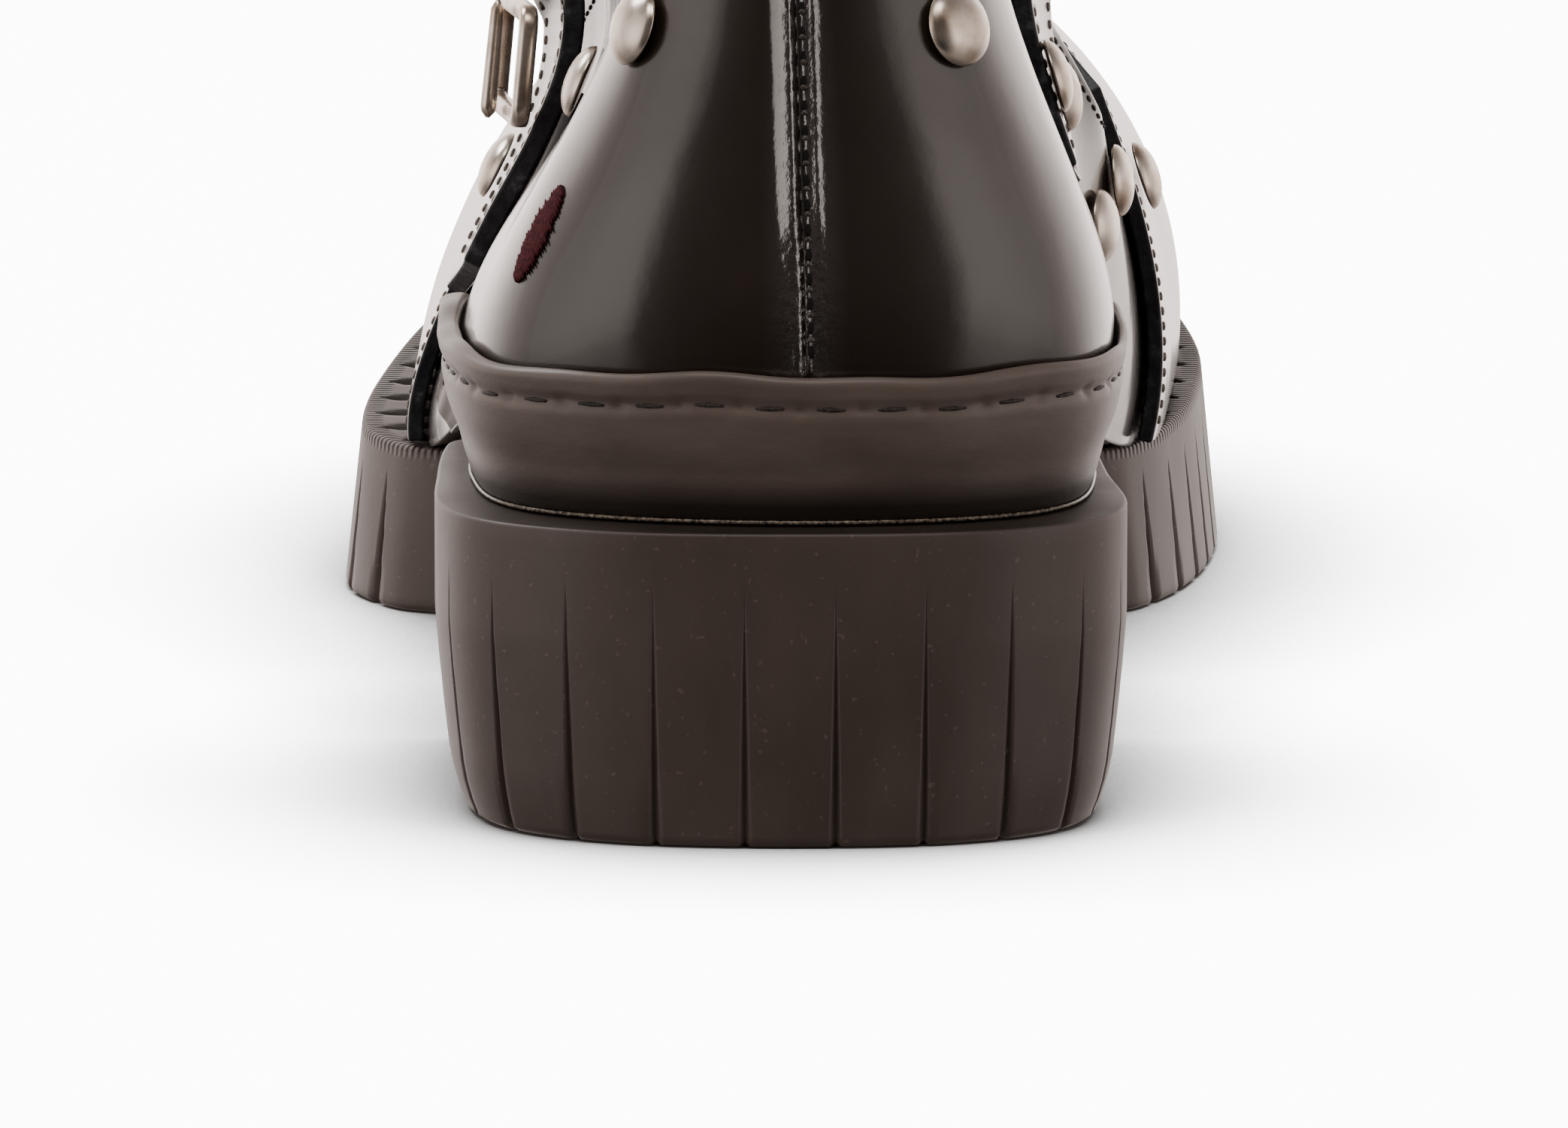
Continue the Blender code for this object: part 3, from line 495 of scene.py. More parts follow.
rubberLook = {
    "color": (0.095, 0.072, 0.062),
    "roughness": 0.44,
    "tones": [(0.30, (0.070, 0.052, 0.045)), (0.70, (0.125, 0.098, 0.086))],
    "dust": [(0.70, grey(0.0)), (0.76, (0.05, 0.045, 0.038))],
    # painted shade: the top face's colour is multiplied by this tone
    "topShadeTone": (0.34, 0.32, 0.30),
    "sheens": [(0.25, grey(0.36)), (0.75, grey(0.54))],
    "tickPitch": 1.1,
    "tickBand": [(0.175, grey(0.0)), (0.20, grey(1.0)), (0.32, grey(1.0)), (0.34, grey(0.0))],
}


def soleRubber(name, topEnd, ticked=False):
    # the sheet's second coordinate starts on the top face, which ends at topEnd; the top face is darkened as
    # painted shade, for the shadow it lies in under the band and the upper
    look = rubberLook
    material = newLook(name, look["color"], look["roughness"])
    cloud = noiseAt(material, 45.0, 7.0, (1.0, 1.0, 0.45))
    tone = ramp(material, cloud, 0, look["tones"])
    dust = ramp(material, noiseAt(material, 1300.0, 1.0), 0, look["dust"])
    axes = sheetAxes(material)
    # painted shade: the top face is made darker than the wall
    wearAndShade = ramp(material, axes, "Y", [(topEnd - 0.03, look["topShadeTone"]), (topEnd + 0.01, grey(1.0))])
    dusted = blend(material, "ADD", tone, 0, dust)
    join(material, blend(material, "MULTIPLY", dusted, 2, wearAndShade), 2, shaderOf(material), "Base Color")
    clouded(material, cloud, look["sheens"], "Roughness")
    grain = noiseAt(material, 2200.0, 3.0)
    orange = noiseAt(material, 300.0, 2.0)
    waves = noiseAt(material, 70.0, 2.0)
    layers = [(waves, 0, 0.4, 0.25 * mm), (orange, 0, 0.35, 0.07 * mm), (grain, 0, 0.35, 0.03 * mm)]
    if ticked:
        # the first coordinate counts millimetres along the rim
        turn = addNode(material, "Math", operation="MULTIPLY")
        turn.inputs[1].default_value = math.tau / look["tickPitch"]
        join(material, axes, "X", turn, 0)
        wave = addNode(material, "Math", operation="SINE")
        join(material, turn, 0, wave, 0)
        rim = ramp(material, axes, "Y", look["tickBand"])
        layers.append((product(material, wave, rim), 0, 0.9, 0.22 * mm))
    bumpChain(material, layers)
    return material


nickelLook = {
    "color": (0.84, 0.75, 0.66),
    "roughness": 0.27,
    "sheens": [(0.3, grey(0.20)), (0.7, grey(0.36))],
    "tones": [(0.34, (0.60, 0.47, 0.36)), (0.56, (0.90, 0.81, 0.71))],
}


def satinNickel():
    material = newLook("satinNickel", nickelLook["color"], nickelLook["roughness"], 1.0)
    scratch = noiseAt(material, 700.0, 3.0, (1.0, 1.0, 0.2))
    clouded(material, scratch, nickelLook["sheens"], "Roughness")
    clouded(material, noiseAt(material, 240.0, 4.0), nickelLook["tones"])
    bumpChain(material, [(scratch, 0, 0.15, 0.03 * mm)])
    return material


def threadLook(name, dark, light, roughness):
    material = newLook(name, dark, roughness)
    fibre = noiseAt(material, 2600.0, 2.0)
    clouded(material, fibre, [(0.35, dark), (0.68, light)])
    bumpChain(material, [(fibre, 0, 0.6, 0.06 * mm)])
    return material


leather = polishedLeather("polishedLeather")
quarterLeather = polishedLeather("quarterLeather", crinkled=True)
bandHide = bandLeather()
edgeHide = rawEdge()
lining = liningLeather()
rubber = soleRubber("soleRubber", 0.150)
platformRubber = soleRubber("platformRubber", 0.250, ticked=True)
nickel = satinNickel()
# painted shade: near-black spots stand for the shade inside the needle holes
holeShadeLook = newLook("needleHoleShade", (0.004, 0.003, 0.003), 0.90)
waxedThread = threadLook("waxedThread", (0.030, 0.024, 0.020), (0.120, 0.105, 0.095), 0.25)
# a glue bead whose pale tone also paints in the bright line of highlight along the band's foot
glueAndHighlight = threadLook("glueBeadAndHighlight", (0.020, 0.015, 0.012), (0.330, 0.270, 0.200), 0.22)
darkThread = threadLook("darkThread", (0.010, 0.008, 0.007), (0.060, 0.050, 0.044), 0.60)
wineThread = threadLook("wineThread", (0.040, 0.005, 0.008), (0.110, 0.020, 0.026), 0.80)
shaderOf(wineThread).inputs["Specular IOR Level"].default_value = 0.15
paleThread = threadLook("paleThread", (0.160, 0.130, 0.110), (0.420, 0.370, 0.320), 0.55)
print("materials made")


# Mesh helpers

def finish(piece, slotName, *nodes):
    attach(piece, "root")
    if nodes:
        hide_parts(*nodes)
    return piece


def pieceOf(name, bm, material=None, smooth=True):
    mesh = bpy.data.meshes.new(name)
    bm.to_mesh(mesh)
    bm.free()
    if smooth:
        mesh.shade_smooth()
    if material:
        mesh.materials.append(material)
    piece = bpy.data.objects.new(name, mesh)
    bpy.context.scene.collection.objects.link(piece)
    return piece


def gridPiece(name, points, materials, rowMaterials=None, flip=False, uv=None):
    # a grid operator makes the faces, and each corner goes to its place in points
    rows, columns = points.shape[:2]
    bm = bmesh.new()
    bmesh.ops.create_grid(bm, x_segments=columns - 1, y_segments=rows - 1, size=0.5)
    bm.loops.layers.uv.new("sheet")
    mesh = bpy.data.meshes.new(name)
    bm.to_mesh(mesh)
    bm.free()
    flat = np.empty(len(mesh.vertices) * 3)
    mesh.vertices.foreach_get("co", flat)
    flat = flat.reshape(-1, 3)
    column = np.rint((flat[:, 0] + 0.5) * (columns - 1)).astype(int)
    row = np.rint((flat[:, 1] + 0.5) * (rows - 1)).astype(int)
    mesh.vertices.foreach_set("co", (points[row, column] + footPlace).ravel())
    corners = np.empty(len(mesh.loops), int)
    mesh.loops.foreach_get("vertex_index", corners)
    if uv is None:
        uv = np.stack(np.meshgrid(np.linspace(0, 1, columns), np.linspace(0, 1, rows)), -1)
    mesh.uv_layers["sheet"].data.foreach_set("uv", uv[row[corners], column[corners]].ravel())
    for material in materials:
        mesh.materials.append(material)
    if rowMaterials is not None:
        low = row[corners].reshape(-1, 4).min(1)
        mesh.polygons.foreach_set("material_index", np.asarray(rowMaterials)[low])
    bm = bmesh.new()
    bm.from_mesh(mesh)
    bmesh.ops.remove_doubles(bm, verts=bm.verts, dist=0.004 * mm)
    bmesh.ops.dissolve_degenerate(bm, edges=bm.edges, dist=0.001 * mm)
    if flip:
        bmesh.ops.reverse_faces(bm, faces=bm.faces)
    if all(edge.is_manifold for edge in bm.edges):
        bmesh.ops.recalc_face_normals(bm, faces=bm.faces)
    bm.to_mesh(mesh)
    bm.free()
    mesh.shade_smooth()
    piece = bpy.data.objects.new(name, mesh)
    bpy.context.scene.collection.objects.link(piece)
    return piece


def giveThickness(piece, thickness, roundOff):
    # the wall grows inward; its cut edge takes the piece's second material
    solid = piece.modifiers.new("wall", "SOLIDIFY")
    solid.thickness = thickness
    solid.offset = -1.0
    solid.use_even_offset = True
    solid.material_offset_rim = 1
    bevel = piece.modifiers.new("softEdge", "BEVEL")
    bevel.limit_method = "ANGLE"
    bevel.angle_limit = math.radians(50.0)
    bevel.width = roundOff
    bevel.segments = 2
    bevel.harden_normals = True


def runOf(points):
    # the distance walked at each point of a path
    steps = np.linalg.norm(np.diff(points, axis=0), axis=1)
    return np.concatenate([[0.0], np.cumsum(steps)])


def readAt(at, run, values):
    return np.stack([np.interp(at, run, values[:, k]) for k in range(3)], 1)


def throughRows(rows, perSpan):
    # an open smooth curve through rows of points, with its ends kept
    rows = np.asarray(rows, float)
    padded = np.concatenate([2 * rows[:1] - rows[1:2], rows, 2 * rows[-1:] - rows[-2:-1]])
    at = np.linspace(1, len(rows), (len(rows) - 1) * perSpan + 1)
    at[-1] -= 1e-9
    return closedCurve(padded.reshape(len(padded), -1), at).reshape(-1, *rows.shape[1:])


def stitch(pitch, fill, width, height, proud):
    # a thread's pitch, the share of it that the thread fills, and its size and stand in millimetres
    return {"pitch": pitch * mm, "fill": fill, "width": width * mm, "height": height * mm, "proud": proud * mm}


def layThreads(name, centres, outs, look, material):
    # short threads in line, each sunk a little at both ends
    along = np.gradient(centres, axis=0)
    chance = random.Random(7)
    bm = bmesh.new()
    for centre, out, ahead in zip(centres, outs, along):
        ahead = Vector(ahead).normalized()
        out = Vector(out).normalized()
        side = out.cross(ahead).normalized()
        ahead = (ahead + side * chance.uniform(-0.05, 0.05)).normalized()
        side = out.cross(ahead).normalized()
        turn = Matrix((ahead, side, out)).transposed().to_4x4()
        size = (look["pitch"] * look["fill"], look["width"], look["height"], 1.0)
        spot = Matrix.Translation(Vector(centre + footPlace) + out * look["proud"])
        bmesh.ops.create_uvsphere(bm, u_segments=6, v_segments=5, radius=0.5,
                                  matrix=spot @ turn @ Matrix.Diagonal(size))
    return finish(pieceOf(name, bm, material), None)


def stitchRow(name, path, normals, look, material=darkThread):
    # threads at even places along a path
    run = runOf(path)
    count = max(1, int(run[-1] / look["pitch"]))
    at = (np.arange(count) + 0.5) * run[-1] / count
    return layThreads(name, readAt(at, run, path), readAt(at, run, normals), look, material)


# Upper: one wall from feather edge over the top line and down the lining

upperLook = {
    "seamSides": (2.3 * mm, 1.2 * mm),  # the seam's place to the side, at the two heights below
    "seamHeights": (0.046, 0.084),
    "backReach": (0.018, 0.010),  # the seam's relief fades from this far forward, over this length
    "roll": 0.64 * mm,
    "rollFoot": 0.12,  # share of the roll that is left below its start
    "rollStart": 56.0 * mm,
    "rollGrow": 9.0 * mm,
    "rollRise": (2.8 * mm, 1.9 * mm),
    "rollFall": (0.80 * mm, 0.6 * mm),
    "ridge": 0.34,
    "ridgePlace": (1.60 * mm, 0.40 * mm),
    "cut": 0.50 * mm,
    "cutWidth": 0.32 * mm,
    "stitchAway": 0.50 * mm,
    "stitchRun": (0.048, 0.0985),
    # near-black spots painted as the shade of the needle holes
    "holes": stitch(2.4, 0.62, 0.72, 0.30, 0.0),
    "threads": stitch(2.4, 0.28, 0.85, 0.55, 0.12),
    "collar": stitch(2.1, 0.68, 0.50, 0.34, 0.04),
    "collarInset": 2.6 * mm,
    "fineReach": 0.36,  # stations on each side of the seam that are crowded
    "fineStep": 0.010,
    "step": 0.05,
    "rows": 90,
    "innerRows": 26,
}


def seamLine(z):
    (low, high), (bottom, top) = upperLook["seamSides"], upperLook["seamHeights"]
    return low + (high - low) * np.clip((z - bottom) / (top - bottom), -1.0, 1.6)


def bumpAt(distance, centre, width):
    return np.exp(-(((distance - centre) / width) ** 2))


def seamRelief(points):
    # one quarter rolls up to the seam, the other has a small ridge past its stitches
    look = upperLook
    away = points[..., 0] - seamLine(points[..., 2])
    reach, fade = look["backReach"]
    near = np.clip(1.0 - (points[..., 1] - reach) / fade, 0.0, 1.0)
    grown = ease((points[..., 2] - look["rollStart"]) / look["rollGrow"])
    upward = look["rollFoot"] + (1.0 - look["rollFoot"]) * grown
    (riseFrom, riseOver), (fallFrom, fallOver) = look["rollRise"], look["rollFall"]
    rise = ease((away + riseFrom) / riseOver) * (1.0 - ease((away + fallFrom) / fallOver))
    ridge = look["ridge"] * bumpAt(away, *look["ridgePlace"])
    cut = bumpAt(away, 0.0, look["cutWidth"])
    return near * (look["roll"] * upward * (rise + ridge) - look["cut"] * cut)


def makeUpper():
    look = upperLook
    near = np.arange(0.0, look["fineReach"], look["fineStep"])
    middle = np.arange(look["fineReach"], lap - look["fineReach"], look["step"])
    stations = np.concatenate([near, middle, lap - near[::-1]])
    radius = shoe["wall"] / 2
    back = radius / columnLength(stations)
    outside, inside = np.zeros_like(stations), np.full_like(stations, -shoe["wall"])
    rows = []  # height, offset, material: 0 leather, 1 lining
    for share in np.linspace(0.0, 1.0, look["rows"]):
        rows.append((share * (1.0 - back), outside, 0))
    for angle in np.linspace(0.0, math.pi, 9)[1:]:
        offset = np.full_like(stations, radius * (math.cos(angle) - 1.0))
        rows.append((1.0 + (math.sin(angle) - 1.0) * back, offset, 0 if angle < 2.0 else 1))
    for share in np.linspace(1.0, 0.0, look["innerRows"])[1:]:
        rows.append((share * (1.0 - back), inside, 1))
    rows.append((*rows[0][:2], 1))
    heights, offsets = np.array([row[0] for row in rows]), np.array([row[1] for row in rows])
    around = np.broadcast_to(stations, heights.shape)
    relief = seamRelief(skinPoint(around, heights)) * (offsets > -0.5 * mm)
    points = skin(around, heights, offsets + relief)
    piece = gridPiece("upperShell", points, [quarterLeather, lining], [row[2] for row in rows])
    finish(piece, "polished_leather", "upper")

    # the stitches climb beside the seam: each place is walked round until it has the right x
    z = np.linspace(*look["stitchRun"], 120)
    seam = np.zeros_like(z)
    for _ in range(12):
        heights = heightAt(seam % lap, z)
        x = skinPoint(seam, heights)[:, 0]
        slope = (skinPoint(seam + 0.01, heights)[:, 0] - x) / 0.01
        seam = seam + (seamLine(z) + look["stitchAway"] - x) / slope
    path, outs = skinPoint(seam, heights), skinNormal(seam, heights)
    # painted shade: the needle holes are dark spots on the surface, not hollows
    stitchRow("backHoleShade", path, outs, look["holes"], holeShadeLook)
    stitchRow("backThreads", path[3:], outs[3:], look["threads"], waxedThread)

    stations = np.linspace(0.0, lap, 900)
    heights = 1.0 - look["collarInset"] / columnLength(stations)
    path, outs = skinPoint(stations, heights), skinNormal(stations, heights)
    stitchRow("collarStitches", path, outs, look["collar"])


makeUpper()
print("upper made")


# Vamp: an overlay with a thick raw edge

vampLook = {
    "rear": 7.05,
    "sweep": 0.75,
    "bend": 1.4,
    "low": 0.02,
    "high": 0.985,
    "rows": 70,
    "columns": 260,
    "edgeRound": 0.35 * mm,
    "stitches": stitch(1.75, 0.68, 0.55, 0.40, 0.06),
    "stitchSpan": (0.06, 0.94),
    "stitchAway": 0.085,
    "throatAway": 0.12,
    "throatInset": 2.4 * mm,
}


def vampRear(height):
    return vampLook["rear"] + vampLook["sweep"] * np.asarray(height) ** vampLook["bend"]


def makeVamp():
    look = vampLook
    heights = np.linspace(look["low"], look["high"], look["rows"])
    rear = vampRear(heights)
    shares = np.linspace(0.0, 1.0, look["columns"])
    stations = rear[:, None] * (1 - shares) + (lap - rear[:, None]) * shares
    levels = np.repeat(heights[:, None], len(shares), 1)
    top = shoe["curvedGap"] + shoe["vampThickness"]
    piece = gridPiece("vampShell", skin(stations, levels, top), [leather, edgeHide], flip=True)
    giveThickness(piece, shoe["vampThickness"], look["edgeRound"])
    finish(piece, "polished_leather", "vamp")

    heights = np.linspace(*look["stitchSpan"], 160)
    lateral = vampRear(heights) + look["stitchAway"]
    for side, stations in (("Lateral", lateral), ("Medial", lap - lateral)):
        path, outs = skin(stations, heights, top), skinNormal(stations, heights)
        stitchRow("vampStitches" + side, path, outs, look["stitches"], paleThread)
    rear = float(vampRear(look["stitchSpan"][1])) + look["throatAway"]
    stations = np.linspace(rear, lap - rear, 500)
    heights = look["high"] - look["throatInset"] / columnLength(stations)
    path, outs = skin(stations, heights, top), skinNormal(stations, heights)
    stitchRow("throatStitches", path, outs, look["stitches"])


makeVamp()
print("vamp made")


# Strap over the instep, with its buckle and the tab below it

strapLook = {
    "across": 25,
    "perSpan": 7,
    "trimmed": 2,
    "crowns": (0.16, 0.38, 0.62, 0.84),
    "archFullness": 0.65,
    "edgeRound": 0.45 * mm,
    "stitches": stitch(1.85, 0.66, 0.55, 0.40, 0.05),
    "stitchInset": 2.2 * mm,
}
# side, station, height
strapLateral = [
    ("lateral", 5.25, 0.24),
    ("lateral", 5.20, 0.40),
    ("lateral", 5.15, 0.58),
    ("lateral", 5.15, 0.76),
    ("lateral", 5.20, 0.93),
    ("lateral", 5.25, 1.07),
]
strapMedial = [
    ("medial", 5.20, 1.07),
    ("medial", 5.15, 0.93),
    ("medial", 5.10, 0.78),
    ("medial", 5.05, 0.64),
    ("medial", 5.00, 0.50),
]


def strapStop(stop, width, lift, across):
    # one row of a strap that lies on the upper
    side, station, height = stop
    station = sideStation(side, station)
    reach = skinPoint(station + 0.05, height) - skinPoint(station - 0.05, height)
    turn = 1.0 if side == "lateral" else -1.0
    stations = station + turn * across * width / 2 * 0.1 / np.linalg.norm(reach)
    return skin(stations, np.full(len(across), height), np.full(len(across), lift))


def strapCrown(left, right, share, across):
    middle = len(across) // 2
    arch = math.sin(math.pi * share) ** strapLook["archFullness"]
    centre = left[middle] * (1 - share) + right[middle] * share
    centre = centre + np.array([0.0, shoe["strapLead"], shoe["strapRise"]]) * arch
    lean = np.array([0.0, math.cos(shoe["crownSlope"]), -math.sin(shoe["crownSlope"])])
    own = (left[-1] - left[0]) * (1 - share) + (right[-1] - right[0]) * share
    own = own / np.linalg.norm(own)
    line = own + (lean - own) * arch
    line /= np.linalg.norm(line)
    return centre + line * (across * shoe["strapWidth"] / 2)[:, None]


def strapRows(across):
    lift = shoe["tabThickness"] + 2 * shoe["gap"]
    width = shoe["strapWidth"]
    rows = [strapStop(stop, width, 2 * shoe["gap"] + lift, across) for stop in strapLateral]
    far = [strapStop(stop, width, 2 * shoe["gap"], across) for stop in strapMedial]
    crowns = [strapCrown(rows[-1], far[0], share, across) for share in strapLook["crowns"]]
    return np.array(rows + crowns + far)


def gridNormals(grid):
    normal = np.cross(np.gradient(grid, axis=0), np.gradient(grid, axis=1))
    return normal / np.linalg.norm(normal, axis=-1)[..., None]


def makeStrap():
    look = strapLook
    across = np.linspace(-1.0, 1.0, look["across"])
    inner = throughRows(strapRows(across), look["perSpan"])[look["trimmed"]:]
    normals = gridNormals(inner)
    outer = inner + shoe["strapThickness"] * normals
    piece = gridPiece("strapShell", outer, [leather, edgeHide], flip=True)
    giveThickness(piece, shoe["strapThickness"], look["edgeRound"])
    finish(piece, "polished_leather", "instep_strap")

    share = 1.0 - look["stitchInset"] / (shoe["strapWidth"] / 2)
    for name, place in (("Rear", -share), ("Front", share)):
        column = (place + 1.0) / 2.0 * (look["across"] - 1)
        low = int(column)
        mix = column - low
        path = outer[:, low] * (1 - mix) + outer[:, low + 1] * mix
        stitchRow("strapStitches" + name, path[3:-3], normals[3:-3, low], look["stitches"], paleThread)


makeStrap()
print("strap made")


tabLook = {
    "station": 5.22,
    "heights": (0.26, 0.38, 0.50, 0.62, 0.72),
    "edgeRound": 0.25 * mm,
}


def makeTab():
    stops = [("lateral", tabLook["station"], height) for height in tabLook["heights"]]
    across = np.linspace(-1.0, 1.0, 13)
    lift = shoe["gap"] + shoe["tabThickness"]
    rows = np.array([strapStop(stop, shoe["tabWidth"], lift, across) for stop in stops])
    piece = gridPiece("buckleTab", throughRows(rows, 5), [lining, edgeHide], flip=True)
    giveThickness(piece, shoe["tabThickness"], tabLook["edgeRound"])
    finish(piece, "polished_leather", "buckle_tab")


makeTab()

buckleLook = {
    "length": 13.0 * mm,
    "width": 25.0 * mm,
    "bar": 2.0 * mm,
    "row": 7,
    "shift": -2.5 * mm,
    "corner": 1.6 * mm,
    "fullness": 3.0,  # 2 is a round section, more is squarer
    "tongue": 0.45,  # radius in shares of the bar
    "taper": 0.25,
    "reach": 0.985,
    "tip": 0.97,
}


def placedOn(grid, row, column):
    along = Vector(grid[row + 1, column] - grid[row - 1, column]).normalized()
    across = Vector(grid[row, -1] - grid[row, 0]).normalized()
    outward = along.cross(across).normalized()
    across = outward.cross(along).normalized()
    turn = Matrix((along, across, outward)).transposed().to_4x4()
    return Matrix.Translation(Vector(grid[row, column])) @ turn


def roundedPath(halfX, halfY, radius, steps):
    # closed path round a rectangle with round corners, its first point repeated at the end
    points = []
    for signX, signY, start in ((1, 1, 0), (-1, 1, 90), (-1, -1, 180), (1, -1, 270)):
        for k in range(steps + 1):
            angle = math.radians(start + 90.0 * k / steps)
            points.append((signX * (halfX - radius) + radius * math.cos(angle),
                           signY * (halfY - radius) + radius * math.sin(angle)))
    points.append(points[0])
    return np.array(points)


def bucklePlace():
    across = np.linspace(-1.0, 1.0, 7)
    inner = throughRows(strapRows(across), 2)
    outer = inner + shoe["strapThickness"] * gridNormals(inner)
    place = placedOn(outer, buckleLook["row"], len(across) // 2)
    place = place @ Matrix.Translation((buckleLook["shift"], 0.0, 0.0))
    local = [place.inverted() @ Vector(point) for point in outer.reshape(-1, 3)]
    halfWidth = buckleLook["width"] / 2
    under = [p.z for p in local if abs(p.x) < 0.7 * buckleLook["length"] and abs(p.y) < halfWidth]
    return place, max(under) + shoe["curvedGap"]


def makeBuckle():
    place, lift = bucklePlace()
    bar = buckleLook["bar"]
    halfX, halfY = buckleLook["length"] / 2 - bar / 2, buckleLook["width"] / 2 - bar / 2
    path = roundedPath(halfX, halfY, buckleLook["corner"], 6)
    ahead = np.roll(path[:-1], -1, 0) - np.roll(path[:-1], 1, 0)
    outward = np.stack([ahead[:, 1], -ahead[:, 0]], 1)
    outward /= np.linalg.norm(outward, axis=1)[:, None]
    outward = np.concatenate([outward, outward[:1]])
    power = buckleLook["fullness"]
    rows = []
    for angle in np.linspace(0.0, math.tau, 21):
        c, s = math.cos(angle), math.sin(angle)
        size = bar / 2 / (abs(c) ** power + abs(s) ** power) ** (1 / power)
        flat = path + outward * (c * size)
        z = lift + bar / 2 + s * size
        rows.append([tuple(place @ Vector((x, y, z))) for x, y in flat])
    finish(gridPiece("buckleRing", np.array(rows), [nickel]), "satin_nickel", "buckle_frame")

    # the tongue is a tapered bar that lies on the frame, closed to a point at both ends
    radius = buckleLook["tongue"] * bar
    level = lift + bar + shoe["gap"] + radius
    reach = buckleLook["length"] / 2
    rows = [[tuple(place @ Vector((-reach, 0.0, level)))] * 17]
    for share in np.linspace(0.0, 1.0, 22):
        x = -reach + 2 * reach * share * buckleLook["reach"]
        size = radius * min(1.0, 12.0 * share + 0.25, 10.0 * (1.0 - share) + 0.12)
        size *= 1.0 - buckleLook["taper"] * share
        ring = []
        for angle in np.linspace(0.0, math.tau, 17):
            ring.append(tuple(place @ Vector((x, size * math.cos(angle), level + size * math.sin(angle)))))
        rows.append(ring)
    rows.append([tuple(place @ Vector((reach * buckleLook["tip"], 0.0, level)))] * 17)
    finish(gridPiece("buckleTongue", np.array(rows), [nickel]), "satin_nickel", "buckle_prong")


makeBuckle()
print("buckle made")


# Studs: a thin rim and a low dome, spun about its middle at each of eleven places

studLook = {
    "radius": 4.0 * mm,
    "height": 2.05 * mm,
    "rim": 0.40 * mm,
    "dome": (0.965, 0.90, 0.82, 0.70, 0.55, 0.38, 0.20, 0.0),  # shares of the radius
    "turns": 40,
}
# side, station, height, carrier
studs = [
    ("lateral", 1.33, 0.71, "upper"),
    ("lateral", 4.15, 0.74, "upper"),
    ("lateral", 6.80, 0.80, "upper"),
    ("lateral", 8.10, 0.68, "vamp"),
    ("lateral", 6.45, 0.54, "upper"),
    ("medial", 1.10, 0.70, "upper"),
    ("medial", 7.00, 0.78, "upper"),
    ("medial", 8.23, 0.56, "vamp"),
    ("medial", 6.36, 0.54, "upper"),
    ("medial", 4.74, 0.70, "strap"),
    ("medial", 5.32, 0.69, "strap"),
]


def studLift(station, height, seat, normal):
    around, rising = np.meshgrid(np.linspace(-0.5, 0.5, 21), np.linspace(-0.25, 0.25, 21))
    away = skinPoint(station + around, np.clip(height + rising, 0.0, 1.0)) - seat
    above = away @ normal
    beside = np.linalg.norm(away - above[..., None] * normal, axis=-1)
    return max(0.0, float(above[beside < 1.1 * studLook["radius"]].max()))


def makeStud(name, node, place):
    radius, height, rim = studLook["radius"], studLook["height"], studLook["rim"]
    bm = bmesh.new()
    profile = [(0.0, 0.0), (0.80 * radius, 0.0), (0.90 * radius, 0.04 * mm), (0.985 * radius, rim * 0.45)]
    profile += [(radius, rim * 0.75), (0.985 * radius, rim)]
    for share in studLook["dome"]:
        profile.append((share * radius, rim + (height - rim) * (1.0 - share ** 2.4) ** 0.75))
    verts = [bm.verts.new((x, 0.0, z)) for x, z in profile]
    edges = [bm.edges.new(pair) for pair in zip(verts, verts[1:])]
    bmesh.ops.spin(bm, geom=verts + edges, cent=(0, 0, 0), axis=(0, 0, 1), angle=math.tau,
                   steps=studLook["turns"], use_merge=True, use_duplicate=False)
    bmesh.ops.remove_doubles(bm, verts=bm.verts, dist=0.002 * mm)
    bmesh.ops.recalc_face_normals(bm, faces=bm.faces)
    bmesh.ops.transform(bm, matrix=place, verts=bm.verts)
    finish(pieceOf(name, bm, nickel), "satin_nickel", node)


def makeStuds():
    cover = {
        "upper": shoe["gap"],
        "vamp": shoe["curvedGap"] + shoe["gap"] + shoe["vampThickness"],
        "strap": 2.5 * shoe["gap"] + shoe["strapThickness"],
    }
    for number, (side, station, height, carrier) in enumerate(studs, 1):
        station = sideStation(side, station)
        seat = skinPoint(station, height)
        normal = skinNormal(station, height)
        lift = cover[carrier] + studLift(station, height, seat, normal)
        spot = Matrix.Translation(Vector(seat + normal * lift + footPlace))
        place = spot @ Vector(normal).to_track_quat("Z", "Y").to_matrix().to_4x4()
        makeStud("studDome%02d" % number, "stud_%02d" % number, place)


makeStuds()
print("studs made")


# Heel band: the cup round the quarter, with a stitched lip

bandLook = {
    "columns": 420,
    "perSpan": 6,
    "fadeStart": 0.22,
    "narrowing": 0.45,
    # the outer face: above which level, share of the way up, share of the width
    "face": [
        ("floor", 0.0, 0.10),
        ("floor", 0.06, 0.27),
        ("floor", 0.32, 0.38),
        ("floor", 0.70, 0.50),
        ("rim", 0.04, 0.61),
        ("rim", 0.30, 0.84),
        ("rim", 0.55, 0.96),
        ("rim", 0.80, 1.03),
        ("rim", 0.94, 1.06),
    ],
    "inner": (0.95, 0.70, 0.40, 0.12),  # shares of the rim's height, down the inside
    "crown": 0.52,
    "grooveDrop": 0.30,
    "grooveDepth": 0.45 * mm,
    "grooveWidth": 0.55 * mm,
    "holeDepth": 0.35 * mm,
    "holeWidth": 0.55 * mm,
    "stitches": stitch(5.6, 0.62, 0.55, 0.5, -0.02),
    "glueRadius": 0.20 * mm,
    "gluePlace": 0.31,
    "glueLift": 0.12 * mm,
    "ripples": [(34.0 * mm, 0.28 * mm), (15.0 * mm, 0.16 * mm)],  # length, height
}


def bandStations():
    half = 48
    stations = lap * np.arange(-half, half + 1) / (2 * half)
    stations = stations[skinPoint(stations, 0.0)[:, 1] < shoe["bandEnd"] * shoe["length"]]
    return np.linspace(stations[0], stations[-1], bandLook["columns"])


